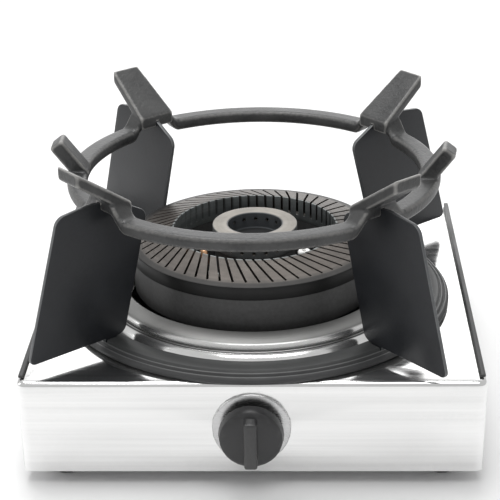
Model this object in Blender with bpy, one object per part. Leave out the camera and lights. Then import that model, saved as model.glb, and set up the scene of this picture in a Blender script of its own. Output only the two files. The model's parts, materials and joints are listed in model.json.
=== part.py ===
"""A single gas burner stand: a cast pan support on four upright wing plates over a slotted ring burner,
on a square stainless hob with its valve, knob, mixing tubes, gas pipe, igniter and feet."""

import math

import bmesh
import bpy
from mathutils import Matrix, Vector

MM = 0.001

# ---- Driving sizes, in millimetres ----

# Gaps between neighbouring pieces.
REST_GAP = 0.1
FIT_GAP = 0.3

# Stainless shell of the hob.
SHELL_WIDTH = 284.0
SHELL_DEPTH = 284.0
SHELL_TOP = 72.0
SHELL_BOTTOM = 10.0
SHEET = 1.4
SHELL_CORNER_RADIUS = 6.0
SHELL_FOLD_RADIUS = 3.0
BURNER_Y = -18.0

# Dark trims along the two side edges of the top.
TRIM_WIDTH = 3.2
TRIM_HEIGHT = 2.2
TRIM_INSET = 1.0
TRIM_EDGE_RADIUS = 0.7

# Bottom tray, feet and their screws.
TRAY_FLANGE = 9.0
TRAY_EDGE_RADIUS = 0.4
FOOT_RADIUS = 11.0
FOOT_INSET = 24.0
FOOT_RECESS = 5.0
FOOT_SCREW_RADIUS = 1.9
FOOT_SCREW_HEAD_RADIUS = 3.8
FOOT_SCREW_HEAD = 2.6
FOOT_SCREW_GRIP = 4.0
VENT_LENGTH = 56.0
VENT_WIDTH = 5.0
VENT_PITCH = 16.0
VENT_COUNT = 5
VENT_Y = 30.0

# Pan support: round ring with four long prongs and two short horns.
RING_INNER = 107.0
RING_WIDTH = 13.0
RING_TOP = 91.3
RING_THICKNESS = 8.4
RING_EDGE_RADIUS = 2.6
STAND_TURN_DEG = -4.0
WING_ANGLES_DEG = (-45.0, 45.0, 135.0, 225.0)
WING_NAMES = ("front_right", "back_right", "back_left", "front_left")
ARCH_RISE = 10.0
ARCH_FLAT_HALF = 9.0
ARCH_FOOT_HALF = 20.0
PRONG_START_INSET = 2.5
PRONG_START_DROP = 2.4
PRONG_REACH = 36.5
PRONG_SLOPE_DEG = 35.2
PRONG_DEPTH = 7.0
PRONG_BASE_WIDTH = 27.0
PRONG_TIP_WIDTH = 21.0
PRONG_EDGE_RADIUS = 1.4
HORN_ANGLES_DEG = (-5.0, 185.0)
HORN_BASE_OUTSET = 2.0
HORN_BASE_DROP = 4.3
HORN_LEAN = 17.0
HORN_RISE = 23.0
HORN_DEPTH = 10.0
HORN_WIDTH = 16.0
HORN_EDGE_RADIUS = 1.6

# Wing plates. Each corner is placed from the support ring above or the base ring below.
WING_THICKNESS = 2.6
WING_HEEL_INSET = 21.0
WING_HEEL_DROP = 6.8
WING_FOOT_INSET = 1.0
WING_FOOT_REACH = 50.0
WING_FOOT_GAP = 0.4
WING_SHOULDER_REACH = 30.5
WING_SHOULDER_RISE = 5.2
WING_CREST_REACH = 5.0
WING_CREST_RISE = 8.2
WING_NOSE_INSET = 1.0
WING_NOSE_RISE = 4.2
WING_CORNER_RADIUS = 6.0
WING_CORNER_STEPS = 3
TONGUE_INSET = 5.5
TONGUE_LENGTH = 8.5
TONGUE_DEPTH = 4.2

# Base ring that the wings stand on, round the foot of the surround.
BASE_GAP = 0.9
BASE_WIDTH = 19.5
BASE_HEIGHT = 7.2

# Stepped stainless surround between the burner and the base ring.
HOLE_GAP = 2.0
SURROUND_LEDGE = 2.0
SURROUND_TOP = 16.0
SURROUND_SHOULDER_WIDTH = 13.5
SURROUND_STEP_WIDTH = 1.5
SURROUND_STEP_Z = 7.5
SURROUND_CONE_WIDTH = 6.6
SURROUND_SHEET = 1.3

# Burner body: an outer gas trough, an inner gas cup and three webs between them.
BODY_STEP = 4.5
BODY_TOP = 34.2
BODY_SHOULDER_Z = 12.0
BODY_BOTTOM = -29.0
TROUGH_WALL = 3.4
TROUGH_INNER = 53.6
CUP_CHANNEL = 9.0
CUP_WALL = 3.0
CUP_TOP = 37.6
WEB_WIDTH = 9.0
WEB_TOP = -12.0
WEB_ANGLES_DEG = (-90.0, 30.0, 150.0)

# Slotted outer crown.
CROWN_OUTER = 82.0
CROWN_OVERHANG = 1.5
CROWN_INNER = 53.4
CROWN_EDGE_Z = 43.0
CROWN_INNER_Z = 49.5
CROWN_WALL = 3.4
CROWN_LIP_DEPTH = 5.0
SLOT_COUNT = 58
SLOT_WIDTH = 1.5
SLOT_OUTER_R = 76.5
SLOT_SLANT_DEG = 31.0
SLOT_BOTTOM_Z = 38.0
SLOT_OVERSHOOT = 8.0

# Inner cap.
CAP_OVERHANG = 1.2
CAP_HOLE = 17.6
CAP_TOP = 51.5
CAP_WALL = 2.4
CAP_WELL_DEPTH = 10.5
CAP_LIP_DEPTH = 5.0
INNER_PORT_COUNT = 14
OUTER_PORT_COUNT = 22
PORT_RADIUS = 1.25
INNER_PORT_Z = 47.0
OUTER_PORT_Z = 41.5

# Mixing tubes, jets and air shutters. Positions are from the burner axis.
TUBE_MOUTH_Y = -79.0
OUTER_TUBE_X = 18.0
OUTER_TUBE_RADIUS = 9.5
OUTER_RISER_RADIUS = 7.0
INNER_TUBE_X = -12.0
INNER_TUBE_RADIUS = 7.5
INNER_TUBE_RISE_Y = 0.0
TUBE_WALL = 1.5
TUBE_BEND_RADIUS = 12.0
RISER_GAP = 1.0
SHUTTER_LENGTH = 16.0
SHUTTER_WALL = 1.2
SHUTTER_MOUTH_GAP = 0.5
SHUTTER_WINDOW_WIDTH = 7.0
SHUTTER_WINDOW_START = 4.0
SHUTTER_WINDOW_LENGTH = 8.0
SHUTTER_TAB_REACH = 4.0
SHUTTER_TAB_WIDTH = 2.0
SHUTTER_TAB_LENGTH = 2.9
SHUTTER_TRAY_GAP = 1.6
JET_RADIUS = 3.2
JET_SHOULDER = 1.6
JET_BORE_RADIUS = 0.8
JET_LENGTH = 9.0

# Valve, spindle, knob.
KNOB_RADIUS = 20.0
KNOB_SKIRT = 7.0
KNOB_DOME = 9.0
KNOB_GRIP_WIDTH = 8.0
KNOB_GRIP_INSET = 4.4
KNOB_GRIP_START = 6.1
KNOB_GRIP_EDGE_RADIUS = 1.5
KNOB_REACH = 24.0
KNOB_GAP = 7.0
KNOB_PUSH = 4.0
KNOB_BORE_DEPTH = 6.0
SPINDLE_RADIUS = 3.0
SPINDLE_HOLE_GAP = 3.0
PLUG_LENGTH = 10.0
PLUG_BORE_DEPTH = 8.0
VALVE_BORE_DEPTH = 18.0
VALVE_BORE_RADIUS = 5.0
BEZEL_RADIUS = 24.0
BEZEL_THICKNESS = 1.6
BEZEL_BORE_GAP = 2.0
VALVE_WIDTH = 26.0
VALVE_LENGTH = 28.0
VALVE_EDGE_RADIUS = 1.2
MANIFOLD_LEFT = -28.0
MANIFOLD_RIGHT = 34.0
MANIFOLD_HEIGHT = 15.0
MANIFOLD_DEPTH = 14.0

# Gas supply at the back.
PIPE_RADIUS = 4.0
PIPE_WALL = 1.0
PIPE_BEND_RADIUS = 14.0
PIPE_X = 92.0
INLET_REACH = 24.0
INLET_RADIUS = 4.6
INLET_BORE_RADIUS = 2.6
INLET_THREAD_RADIUS = 6.2
INLET_TAIL = 5.6
INLET_PIPE_GAP = 0.4
INLET_NUT_RIM = 3.4
LOCK_NUT_RIM = 2.2
LOCK_NUT_LENGTH = 4.5

# Igniter and flame sensor, by angle round the burner axis.
SENSOR_RING_R = 41.0
IGNITER_ANGLE_DEG = -38.0
THERMOCOUPLE_ANGLE_DEG = 218.0
CERAMIC_RADIUS = 4.2
CERAMIC_TOP = 43.0
CERAMIC_BOTTOM = -24.0
IGNITER_ROD_RADIUS = 0.9
IGNITER_ROD_BORE = 1.2
IGNITER_ROD_BOTTOM = -26.0
THERMOCOUPLE_RADIUS = 2.2
THERMOCOUPLE_TIP_RADIUS = 2.6
THERMOCOUPLE_COLLAR_RADIUS = 3.2
THERMOCOUPLE_BOTTOM = -22.0
THERMOCOUPLE_TOP = 45.0
THERMOCOUPLE_TIP_LENGTH = 7.0
THERMOCOUPLE_COLLAR_LENGTH = 4.5
IGNITER_TIP_REACH = 4.0
IGNITER_TIP_RISE = 5.0
SENSOR_BRACKET_HALF_WIDTH = 6.0
SENSOR_BRACKET_END_DEG = 10.0
SENSOR_BRACKET_SHEET = 1.5
SENSOR_SCREW_RADIUS = 1.4
SENSOR_SCREW_HEAD_RADIUS = 3.0
SENSOR_SCREW_LENGTH = 7.0

# Spark maker beside the valve, and the two leads.
PIEZO_LENGTH = 20.0
PIEZO_WIDTH = 16.0
PIEZO_HEIGHT = 10.0
PIEZO_SETBACK = 4.0
PIEZO_RISE = 2.0
PIEZO_EDGE_RADIUS = 1.5
IGNITER_LEAD_RADIUS = 1.1
THERMOCOUPLE_LEAD_RADIUS = 0.9
LEAD_BEND_RADIUS = 2.0
LEAD_DROP = 2.6
IGNITER_LEAD_SETBACK = 1.8
THERMOCOUPLE_LEAD_SETBACK = 5.0
THERMOCOUPLE_VALVE_X = -4.0
THERMOCOUPLE_VALVE_RISE = 4.0
LEAD_END_GAP = 1.4

# Brackets under the burner, and their screws.
BURNER_SCREW_X = 62.0
BURNER_SCREW_RADIUS = 2.0
BURNER_SCREW_HEAD_RADIUS = 3.6
BURNER_SCREW_HEAD = 2.4
BRACKET_SHELF_X = 54.0
BRACKET_WEB_X = 70.0
BRACKET_FOOT_X = 84.0
BRACKET_HALF_WIDTH = 11.0
VALVE_BRACKET_INSET = 6.0
VALVE_BRACKET_SETBACK = 2.0
VALVE_BRACKET_DEPTH = 10.0

# Facets round a circle.
FINE = 60
MEDIUM = 48
CAP_STEPS = 36
CLIMB_STEPS = 5
PLAIN_STEPS = 10
COARSE = 28
SMALL = 14
SCREW_STEPS = 12
LEAD_STEPS = 8
BRACKET_ARC_STEPS = 16

# How far a cutter runs past what it cuts.
OVERSHOOT = 5.0

# ---- Sizes worked out from those above ----

STAND_TURN = math.radians(STAND_TURN_DEG)
BURNER_HOLE_RADIUS = CROWN_OUTER + HOLE_GAP
SURROUND_INNER = BURNER_HOLE_RADIUS + SURROUND_LEDGE
SURROUND_SHOULDER_R = SURROUND_INNER + SURROUND_SHOULDER_WIDTH
SURROUND_STEP_R = SURROUND_SHOULDER_R + SURROUND_STEP_WIDTH
SURROUND_FOOT_R = SURROUND_STEP_R + SURROUND_CONE_WIDTH
BASE_INNER = SURROUND_FOOT_R + BASE_GAP
BASE_OUTER = BASE_INNER + BASE_WIDTH
TONGUE_INNER_R = BASE_INNER + TONGUE_INSET
TONGUE_OUTER_R = TONGUE_INNER_R + TONGUE_LENGTH
RING_OUTER = RING_INNER + RING_WIDTH
RING_MID_R = (RING_OUTER + RING_INNER) / 2
RING_MID_Z = RING_TOP - RING_THICKNESS / 2
PRONG_INNER_R = RING_INNER - PRONG_START_INSET
PRONG_INNER_TOP = RING_TOP + ARCH_RISE - PRONG_START_DROP
PRONG_TIP_R = PRONG_INNER_R + PRONG_REACH
PRONG_RISE = math.tan(math.radians(PRONG_SLOPE_DEG))
PRONG_TIP_TOP = PRONG_INNER_TOP + (PRONG_TIP_R - PRONG_INNER_R) * PRONG_RISE
PRONG_DROP = PRONG_DEPTH / math.cos(math.radians(PRONG_SLOPE_DEG))
HORN_BASE_R = RING_INNER + HORN_BASE_OUTSET
HORN_BASE_Z = RING_TOP - HORN_BASE_DROP
WING_FOOT_Z = BASE_HEIGHT + WING_FOOT_GAP
# Outline of a wing as (radius, height above the hob top), anticlockwise.
WING_OUTLINE = (
    (RING_INNER - WING_HEEL_INSET, RING_TOP - WING_HEEL_DROP),
    (BASE_INNER - WING_FOOT_INSET, WING_FOOT_Z),
    (BASE_OUTER + WING_FOOT_REACH, WING_FOOT_Z),
    (RING_OUTER + WING_SHOULDER_REACH, RING_TOP + WING_SHOULDER_RISE),
    (RING_OUTER + WING_CREST_REACH, RING_TOP + WING_CREST_RISE),
    (RING_INNER - WING_NOSE_INSET, RING_TOP + WING_NOSE_RISE),
)
BODY_RADIUS = CROWN_OUTER - CROWN_OVERHANG
BODY_NECK_RADIUS = BODY_RADIUS - BODY_STEP
CUP_RADIUS = CAP_HOLE + CUP_CHANNEL
CAP_OUTER = CUP_RADIUS + CAP_OVERHANG
FRONT_FACE_Y = -SHELL_DEPTH / 2
BACK_FACE_Y = SHELL_DEPTH / 2
TRAY_BOTTOM = SHELL_BOTTOM
TRAY_TOP = TRAY_BOTTOM + SHEET
FOOT_HEIGHT = TRAY_BOTTOM - REST_GAP
SHUTTER_OUTER = OUTER_TUBE_RADIUS + FIT_GAP + SHUTTER_WALL
TUBE_WORLD_Z = TRAY_TOP + SHUTTER_TRAY_GAP + SHUTTER_TAB_REACH + SHUTTER_OUTER
TUBE_Z = TUBE_WORLD_Z - SHELL_TOP
TUBE_MOUTH_WORLD_Y = BURNER_Y + TUBE_MOUTH_Y
KNOB_Z = TUBE_WORLD_Z + VALVE_WIDTH / 2
VALVE_BACK_Y = TUBE_MOUTH_WORLD_Y - JET_LENGTH
VALVE_FRONT_Y = VALVE_BACK_Y - VALVE_LENGTH
PIPE_Y = VALVE_BACK_Y - MANIFOLD_DEPTH / 2
TROUGH_MID_R = (TROUGH_INNER + BODY_NECK_RADIUS) / 2
OUTER_TUBE_RISE_Y = math.sqrt(TROUGH_MID_R**2 - OUTER_TUBE_X**2)
BODY_UNDERSIDE_WORLD_Z = SHELL_TOP + BODY_BOTTOM


# ---- Shared helpers ----


def clear_scene():
    for obj in list(bpy.data.objects):
        bpy.data.objects.remove(obj, do_unlink=True)


def material(name, colour, roughness, metallic):
    made = bpy.data.materials.new(name)
    made.use_nodes = True
    shader = made.node_tree.nodes["Principled BSDF"]
    shader.inputs["Base Color"].default_value = (*colour, 1.0)
    shader.inputs["Roughness"].default_value = roughness
    shader.inputs["Metallic"].default_value = metallic
    return made


def new_object(name, points, faces, origin=(0.0, 0.0, 0.0), turn=0.0, finish=None):
    """Makes a mesh object from millimetre points given from its own origin."""
    mesh = bpy.data.meshes.new(name)
    mesh.from_pydata([Vector(point) * MM for point in points], [], faces)
    shell = bmesh.new()
    shell.from_mesh(mesh)
    bmesh.ops.remove_doubles(shell, verts=shell.verts, dist=1e-7)
    bmesh.ops.recalc_face_normals(shell, faces=shell.faces)
    shell.to_mesh(mesh)
    shell.free()
    obj = bpy.data.objects.new(name, mesh)
    bpy.context.scene.collection.objects.link(obj)
    obj.location = Vector(origin) * MM
    obj.rotation_euler = (0.0, 0.0, turn)
    if finish is not None:
        mesh.materials.append(finish)
    return obj


def smooth(obj, angle_deg=35.0):
    obj.data.shade_smooth()
    obj.data.set_sharp_from_angle(angle=math.radians(angle_deg))
    return obj


def revolve(name, profile, steps, origin=(0.0, 0.0, 0.0), turn=0.0, finish=None, along="Z"):
    """Turns a closed (radius, height) outline round an axis. Points at radius 0 become poles."""
    points = []
    rows = []
    for radius, height in profile:
        if radius == 0.0:
            rows.append([len(points)] * steps)
            points.append((0.0, 0.0, height))
            continue
        rows.append(list(range(len(points), len(points) + steps)))
        for step in range(steps):
            angle = 2 * math.pi * step / steps
            points.append((radius * math.cos(angle), radius * math.sin(angle), height))
    faces = []
    for row, following in zip(rows, rows[1:] + rows[:1]):
        for step in range(steps):
            after = (step + 1) % steps
            corners = [row[step], row[after], following[after], following[step]]
            distinct = list(dict.fromkeys(corners))
            if len(distinct) > 2:
                faces.append(distinct)
    if along == "Y":
        points = [(x, z, y) for x, y, z in points]
    return smooth(new_object(name, points, faces, origin, turn, finish))


def box(name, low, high, origin=(0.0, 0.0, 0.0), turn=0.0, finish=None):
    points = [(x, y, z) for x in (low[0], high[0]) for y in (low[1], high[1]) for z in (low[2], high[2])]
    faces = [(0, 1, 3, 2), (4, 6, 7, 5), (0, 4, 5, 1), (2, 3, 7, 6), (0, 2, 6, 4), (1, 5, 7, 3)]
    return new_object(name, points, faces, origin, turn, finish)


def prism(name, outline, half_thickness, origin=(0.0, 0.0, 0.0), turn=0.0, finish=None):
    """Extrudes a (radius, height) outline sideways, each way from the plane of radius and height."""
    count = len(outline)
    points = [(x, -half_thickness, z) for x, z in outline]
    points += [(x, half_thickness, z) for x, z in outline]
    faces = [tuple(range(count)), tuple(range(2 * count - 1, count - 1, -1))]
    for index in range(count):
        after = (index + 1) % count
        faces.append((index, index + count, after + count, after))
    return new_object(name, points, faces, origin, turn, finish)


def plate(name, outline, low, high, origin=(0.0, 0.0, 0.0), turn=0.0, finish=None):
    """Extrudes an (x, y) outline upward from one height to another."""
    count = len(outline)
    points = [(x, y, low) for x, y in outline] + [(x, y, high) for x, y in outline]
    faces = [tuple(range(count - 1, -1, -1)), tuple(range(count, 2 * count))]
    for index in range(count):
        after = (index + 1) % count
        faces.append((index, after, after + count, index + count))
    return new_object(name, points, faces, origin, turn, finish)


def rounded(outline, radius, steps=4):
    """Rounds each corner of an outline with an arc of about the given radius."""
    made = []
    count = len(outline)
    for index in range(count):
        here = Vector(outline[index])
        to_last = (Vector(outline[index - 1]) - here).normalized()
        to_next = (Vector(outline[(index + 1) % count]) - here).normalized()
        half = to_last.angle(to_next) / 2
        reach = min(radius / math.tan(half), 0.45 * (Vector(outline[index - 1]) - here).length)
        reach = min(reach, 0.45 * (Vector(outline[(index + 1) % count]) - here).length)
        start = here + to_last * reach
        end = here + to_next * reach
        for step in range(steps + 1):
            t = step / steps
            made.append(tuple((1 - t) ** 2 * start + 2 * t * (1 - t) * here + t**2 * end))
    return made


def grown(outline, distance):
    """Moves each side of an anticlockwise convex outline outward."""
    made = []
    count = len(outline)
    for index in range(count):
        here = Vector(outline[index])
        came = (here - Vector(outline[index - 1])).normalized()
        goes = (Vector(outline[(index + 1) % count]) - here).normalized()
        out_came = Vector((came.y, -came.x))
        out_goes = Vector((goes.y, -goes.x))
        bisector = (out_came + out_goes).normalized()
        made.append(tuple(here + bisector * (distance / bisector.dot(out_came))))
    return made


def sheet_outline(line, thickness):
    """Turns an open (radius, height) line into the closed outline of a sheet below and outside it."""
    offset = []
    for index, point in enumerate(line):
        here = Vector(point)
        before = Vector(line[max(index - 1, 0)])
        after = Vector(line[min(index + 1, len(line) - 1)])
        run = (after - before).normalized()
        offset.append(tuple(here + Vector((-run.y, run.x)) * -thickness))
    return list(line) + offset[::-1]


def tube(name, path, outer, inner, steps, origin=(0.0, 0.0, 0.0), finish=None):
    """Sweeps a round tube along a path of points. An inner radius of 0 makes a solid rod."""
    spine = [Vector(point) for point in path]
    frames = []
    side = None
    for index, point in enumerate(spine):
        before = spine[max(index - 1, 0)]
        after = spine[min(index + 1, len(spine) - 1)]
        run = (after - before).normalized()
        if side is None:
            guess = Vector((1.0, 0.0, 0.0)) if abs(run.x) < 0.9 else Vector((0.0, 0.0, 1.0))
            side = (guess - run * guess.dot(run)).normalized()
        else:
            side = (side - run * side.dot(run)).normalized()
        frames.append((point, side, run.cross(side)))
    radii = [outer] if inner == 0.0 else [outer, inner]
    points = []
    for radius in radii:
        for centre, across, up in frames:
            for step in range(steps):
                angle = 2 * math.pi * step / steps
                spoke = across * math.cos(angle) + up * math.sin(angle)
                points.append(tuple(centre + spoke * radius))
    rings = len(frames)
    faces = []
    for layer in range(len(radii)):
        for ring in range(rings - 1):
            low = (layer * rings + ring) * steps
            for step in range(steps):
                after = (step + 1) % steps
                faces.append((low + step, low + after, low + steps + after, low + steps + step))
    if inner == 0.0:
        faces.append(tuple(range(steps)))
        faces.append(tuple(range((rings - 1) * steps, rings * steps)))
    else:
        for ring in (0, rings - 1):
            for step in range(steps):
                after = (step + 1) % steps
                out_row = ring * steps
                in_row = (rings + ring) * steps
                faces.append((out_row + step, out_row + after, in_row + after, in_row + step))
    return smooth(new_object(name, points, faces, origin, 0.0, finish))


def bent_path(corners, radius, steps=5):
    """Replaces each inner corner of a path by an arc."""
    made = [corners[0]]
    for index in range(1, len(corners) - 1):
        here = Vector(corners[index])
        to_last = (Vector(corners[index - 1]) - here).normalized()
        to_next = (Vector(corners[index + 1]) - here).normalized()
        reach = radius / math.tan(to_last.angle(to_next) / 2)
        start = here + to_last * reach
        end = here + to_next * reach
        for step in range(steps + 1):
            t = step / steps
            made.append(tuple((1 - t) ** 2 * start + 2 * t * (1 - t) * here + t**2 * end))
    made.append(corners[-1])
    return made


def hidden(obj):
    obj.hide_render = True
    obj.display_type = "WIRE"
    return obj


def combine(obj, other, operation):
    modifier = obj.modifiers.new(f"{operation.lower()}_{other.name}", "BOOLEAN")
    modifier.operation = operation
    modifier.solver = "EXACT"
    modifier.object = hidden(other)
    return obj


def cut(obj, *cutters):
    for cutter in cutters:
        combine(obj, cutter, "DIFFERENCE")
    return obj


def add(obj, *pieces):
    for piece in pieces:
        combine(obj, piece, "UNION")
    return obj


def bevel(obj, width, segments=2, angle_deg=40.0):
    modifier = obj.modifiers.new("edges", "BEVEL")
    modifier.width = width * MM
    modifier.segments = segments
    modifier.limit_method = "ANGLE"
    modifier.angle_limit = math.radians(angle_deg)
    modifier.harden_normals = False
    return obj


def joined(name, objects):
    """Merges several helper meshes, in their world places, into one helper object."""
    bpy.context.view_layer.update()
    merged = bmesh.new()
    for obj in objects:
        copy = bmesh.new()
        copy.from_mesh(obj.data)
        copy.transform(obj.matrix_world)
        scratch = bpy.data.meshes.new("scratch")
        copy.to_mesh(scratch)
        copy.free()
        merged.from_mesh(scratch)
        bpy.data.meshes.remove(scratch)
        bpy.data.objects.remove(obj, do_unlink=True)
    mesh = bpy.data.meshes.new(name)
    merged.to_mesh(mesh)
    merged.free()
    obj = bpy.data.objects.new(name, mesh)
    bpy.context.scene.collection.objects.link(obj)
    return obj


def polar(radius, angle_deg):
    angle = math.radians(angle_deg)
    return radius * math.cos(angle), radius * math.sin(angle)


AXIS = (0.0, BURNER_Y, SHELL_TOP)


# ---- Hob shell, trims, tray and feet ----


def shell_block(name, inset, bottom, top, corner, fold, finish=None):
    half_x = SHELL_WIDTH / 2 - inset
    half_y = SHELL_DEPTH / 2 - inset
    outline = [(half_x, -half_y), (half_x, half_y), (-half_x, half_y), (-half_x, -half_y)]
    block = plate(name, rounded(outline, corner, 4), bottom, top, finish=finish)
    rim = bmesh.new()
    rim.from_mesh(block.data)
    top_edges = [e for e in rim.edges if all(abs(v.co.z - top * MM) < 1e-6 for v in e.verts)]
    bmesh.ops.bevel(rim, geom=top_edges, offset=fold * MM, segments=3, profile=0.5, affect="EDGES")
    rim.to_mesh(block.data)
    rim.free()
    return block


def make_shell(finish):
    shell = shell_block(
        "top_shell",
        0.0,
        SHELL_BOTTOM,
        SHELL_TOP,
        SHELL_CORNER_RADIUS,
        SHELL_FOLD_RADIUS,
        finish,
    )
    hollow = shell_block(
        "cut_shell_hollow",
        SHEET,
        SHELL_BOTTOM - SHEET,
        SHELL_TOP - SHEET,
        SHELL_CORNER_RADIUS - SHEET,
        SHELL_FOLD_RADIUS - SHEET,
    )
    opening = revolve(
        "cut_burner_hole",
        [
            (0.0, -OVERSHOOT - SHEET),
            (BURNER_HOLE_RADIUS, -OVERSHOOT - SHEET),
            (BURNER_HOLE_RADIUS, OVERSHOOT),
            (0.0, OVERSHOOT),
        ],
        MEDIUM,
        AXIS,
    )
    front = rod_along_y(
        "cut_knob_hole",
        SPINDLE_RADIUS + SPINDLE_HOLE_GAP,
        FRONT_FACE_Y - OVERSHOOT,
        FRONT_FACE_Y + OVERSHOOT,
        0.0,
        KNOB_Z,
    )
    back = rod_along_y(
        "cut_inlet_hole",
        INLET_THREAD_RADIUS + FIT_GAP,
        BACK_FACE_Y - OVERSHOOT,
        BACK_FACE_Y + OVERSHOOT,
        PIPE_X,
        TUBE_WORLD_Z,
    )
    cut(shell, hollow, opening, front, back)
    return smooth(shell)


def rod_along_y(name, radius, start_y, end_y, x, z, steps=SMALL, finish=None):
    ends = [(0.0, start_y, 0.0), (0.0, end_y, 0.0)]
    return tube(name, ends, radius, 0.0, steps, (x, 0.0, z), finish)


def make_trims(finish):
    half_x = SHELL_WIDTH / 2 - TRIM_INSET
    half_y = SHELL_DEPTH / 2 - SHELL_CORNER_RADIUS
    for side, label in ((-1, "left"), (1, "right")):
        low_x, high_x = sorted((side * half_x, side * (half_x - TRIM_WIDTH)))
        trim = box(
            f"side_trim_{label}",
            (low_x, -half_y, SHELL_TOP + REST_GAP),
            (high_x, half_y, SHELL_TOP + TRIM_HEIGHT),
            finish=finish,
        )
        bevel(trim, TRIM_EDGE_RADIUS)


def make_tray(finish):
    gap = SHEET + FIT_GAP
    tray = shell_block(
        "bottom_tray",
        gap,
        TRAY_BOTTOM,
        TRAY_BOTTOM + TRAY_FLANGE,
        SHELL_CORNER_RADIUS - gap,
        TRAY_EDGE_RADIUS,
        finish,
    )
    half_x = SHELL_WIDTH / 2 - gap - SHEET
    half_y = SHELL_DEPTH / 2 - gap - SHEET
    hollow_top = TRAY_TOP + 2 * TRAY_FLANGE
    hollow = box("cut_tray_hollow", (-half_x, -half_y, TRAY_TOP), (half_x, half_y, hollow_top))
    low = TRAY_BOTTOM - OVERSHOOT
    high = TRAY_TOP + OVERSHOOT
    cutters = []
    for index in range(VENT_COUNT):
        middle = (index - (VENT_COUNT - 1) / 2) * VENT_PITCH
        cutters.append(
            box(
                f"vent_{index}",
                (middle - VENT_WIDTH / 2, VENT_Y - VENT_LENGTH / 2, low),
                (middle + VENT_WIDTH / 2, VENT_Y + VENT_LENGTH / 2, high),
            )
        )
    for x, y in foot_places():
        cutters.append(upright_rod("tray_hole", FOOT_SCREW_RADIUS + FIT_GAP, low, high, x, y))
    cut(tray, hollow, joined("cut_tray_holes", cutters))
    return smooth(tray)


def foot_places():
    x = SHELL_WIDTH / 2 - FOOT_INSET
    y = SHELL_DEPTH / 2 - FOOT_INSET
    return [(-x, -y), (x, -y), (x, y), (-x, y)]


def upright_rod(name, radius, low, high, x, y, steps=SCREW_STEPS, finish=None):
    return tube(name, [(0.0, 0.0, low), (0.0, 0.0, high)], radius, 0.0, steps, (x, y, 0.0), finish)


def make_feet(rubber, steel):
    labels = ("front_left", "front_right", "back_right", "back_left")
    hole = FOOT_SCREW_RADIUS + FIT_GAP
    recess = FOOT_SCREW_HEAD_RADIUS + FIT_GAP
    head_top = FOOT_RECESS - REST_GAP
    for label, (x, y) in zip(labels, foot_places()):
        revolve(
            f"foot_{label}",
            [
                (FOOT_RADIUS - 1.2, 0.0),
                (FOOT_RADIUS, 1.2),
                (FOOT_RADIUS + 1.0, FOOT_HEIGHT),
                (hole, FOOT_HEIGHT),
                (hole, FOOT_RECESS),
                (recess, FOOT_RECESS),
                (recess, 0.0),
            ],
            SMALL,
            (x, y, 0.0),
            finish=rubber,
        )
        revolve(
            f"foot_screw_{label}",
            [
                (0.0, head_top - FOOT_SCREW_HEAD),
                (FOOT_SCREW_HEAD_RADIUS, head_top - FOOT_SCREW_HEAD + 0.2),
                (FOOT_SCREW_HEAD_RADIUS, head_top),
                (FOOT_SCREW_RADIUS, head_top),
                (FOOT_SCREW_RADIUS, TRAY_TOP + FOOT_SCREW_GRIP),
                (0.0, TRAY_TOP + FOOT_SCREW_GRIP + 1.0),
            ],
            SCREW_STEPS,
            (x, y, 0.0),
            finish=steel,
        )


# ---- Pan support ----


def arch_lift(angle):
    """How far the ring climbs at an angle so that it arches over each wing plate."""
    wings = [math.radians(wing) for wing in WING_ANGLES_DEG]
    across = RING_MID_R * min(abs(math.remainder(angle - wing, 2 * math.pi)) for wing in wings)
    t = (ARCH_FOOT_HALF - across) / (ARCH_FOOT_HALF - ARCH_FLAT_HALF)
    t = min(max(t, 0.0), 1.0)
    return ARCH_RISE * t * t * (3 - 2 * t)


def ring_angles():
    """Angles round the ring, closer together where it climbs."""
    foot = ARCH_FOOT_HALF / RING_MID_R
    flat = ARCH_FLAT_HALF / RING_MID_R
    climb = [-foot + (foot - flat) * step / CLIMB_STEPS for step in range(CLIMB_STEPS + 1)]
    cluster = climb + [0.0] + [-angle for angle in reversed(climb)]
    span = math.pi / 2 - 2 * foot
    plain = [foot + span * step / PLAIN_STEPS for step in range(1, PLAIN_STEPS)]
    return [math.radians(wing) + angle for wing in WING_ANGLES_DEG for angle in cluster + plain]


def make_support_ring(finish):
    half_width = (RING_OUTER - RING_INNER) / 2
    half_height = RING_THICKNESS / 2
    corners = [
        (half_width, -half_height),
        (half_width, half_height),
        (-half_width, half_height),
        (-half_width, -half_height),
    ]
    section = rounded(corners, RING_EDGE_RADIUS, 2)
    angles = ring_angles()
    points = []
    for angle in angles:
        lift = arch_lift(angle)
        for across, up in section:
            radius = RING_MID_R + across
            points.append((radius * math.cos(angle), radius * math.sin(angle), RING_MID_Z + up + lift))
    size = len(section)
    faces = []
    for ring in range(len(angles)):
        here = ring * size
        after = (ring + 1) % len(angles) * size
        for index in range(size):
            following = (index + 1) % size
            faces.append((here + index, after + index, after + following, here + following))
    ring = new_object("support_ring", points, faces, AXIS, STAND_TURN, finish)
    for label, angle in zip(WING_NAMES, WING_ANGLES_DEG):
        add(ring, prong_block(f"add_prong_{label}", angle))
    for index, angle in enumerate(HORN_ANGLES_DEG):
        add(ring, horn_block(f"add_horn_{index}", angle))
    for label, angle in zip(WING_NAMES, WING_ANGLES_DEG):
        slot = prism(
            f"cut_wing_slot_{label}",
            grown(WING_OUTLINE, FIT_GAP),
            WING_THICKNESS / 2 + FIT_GAP,
            AXIS,
            STAND_TURN + math.radians(angle),
        )
        cut(ring, slot)
    return smooth(ring)


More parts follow.
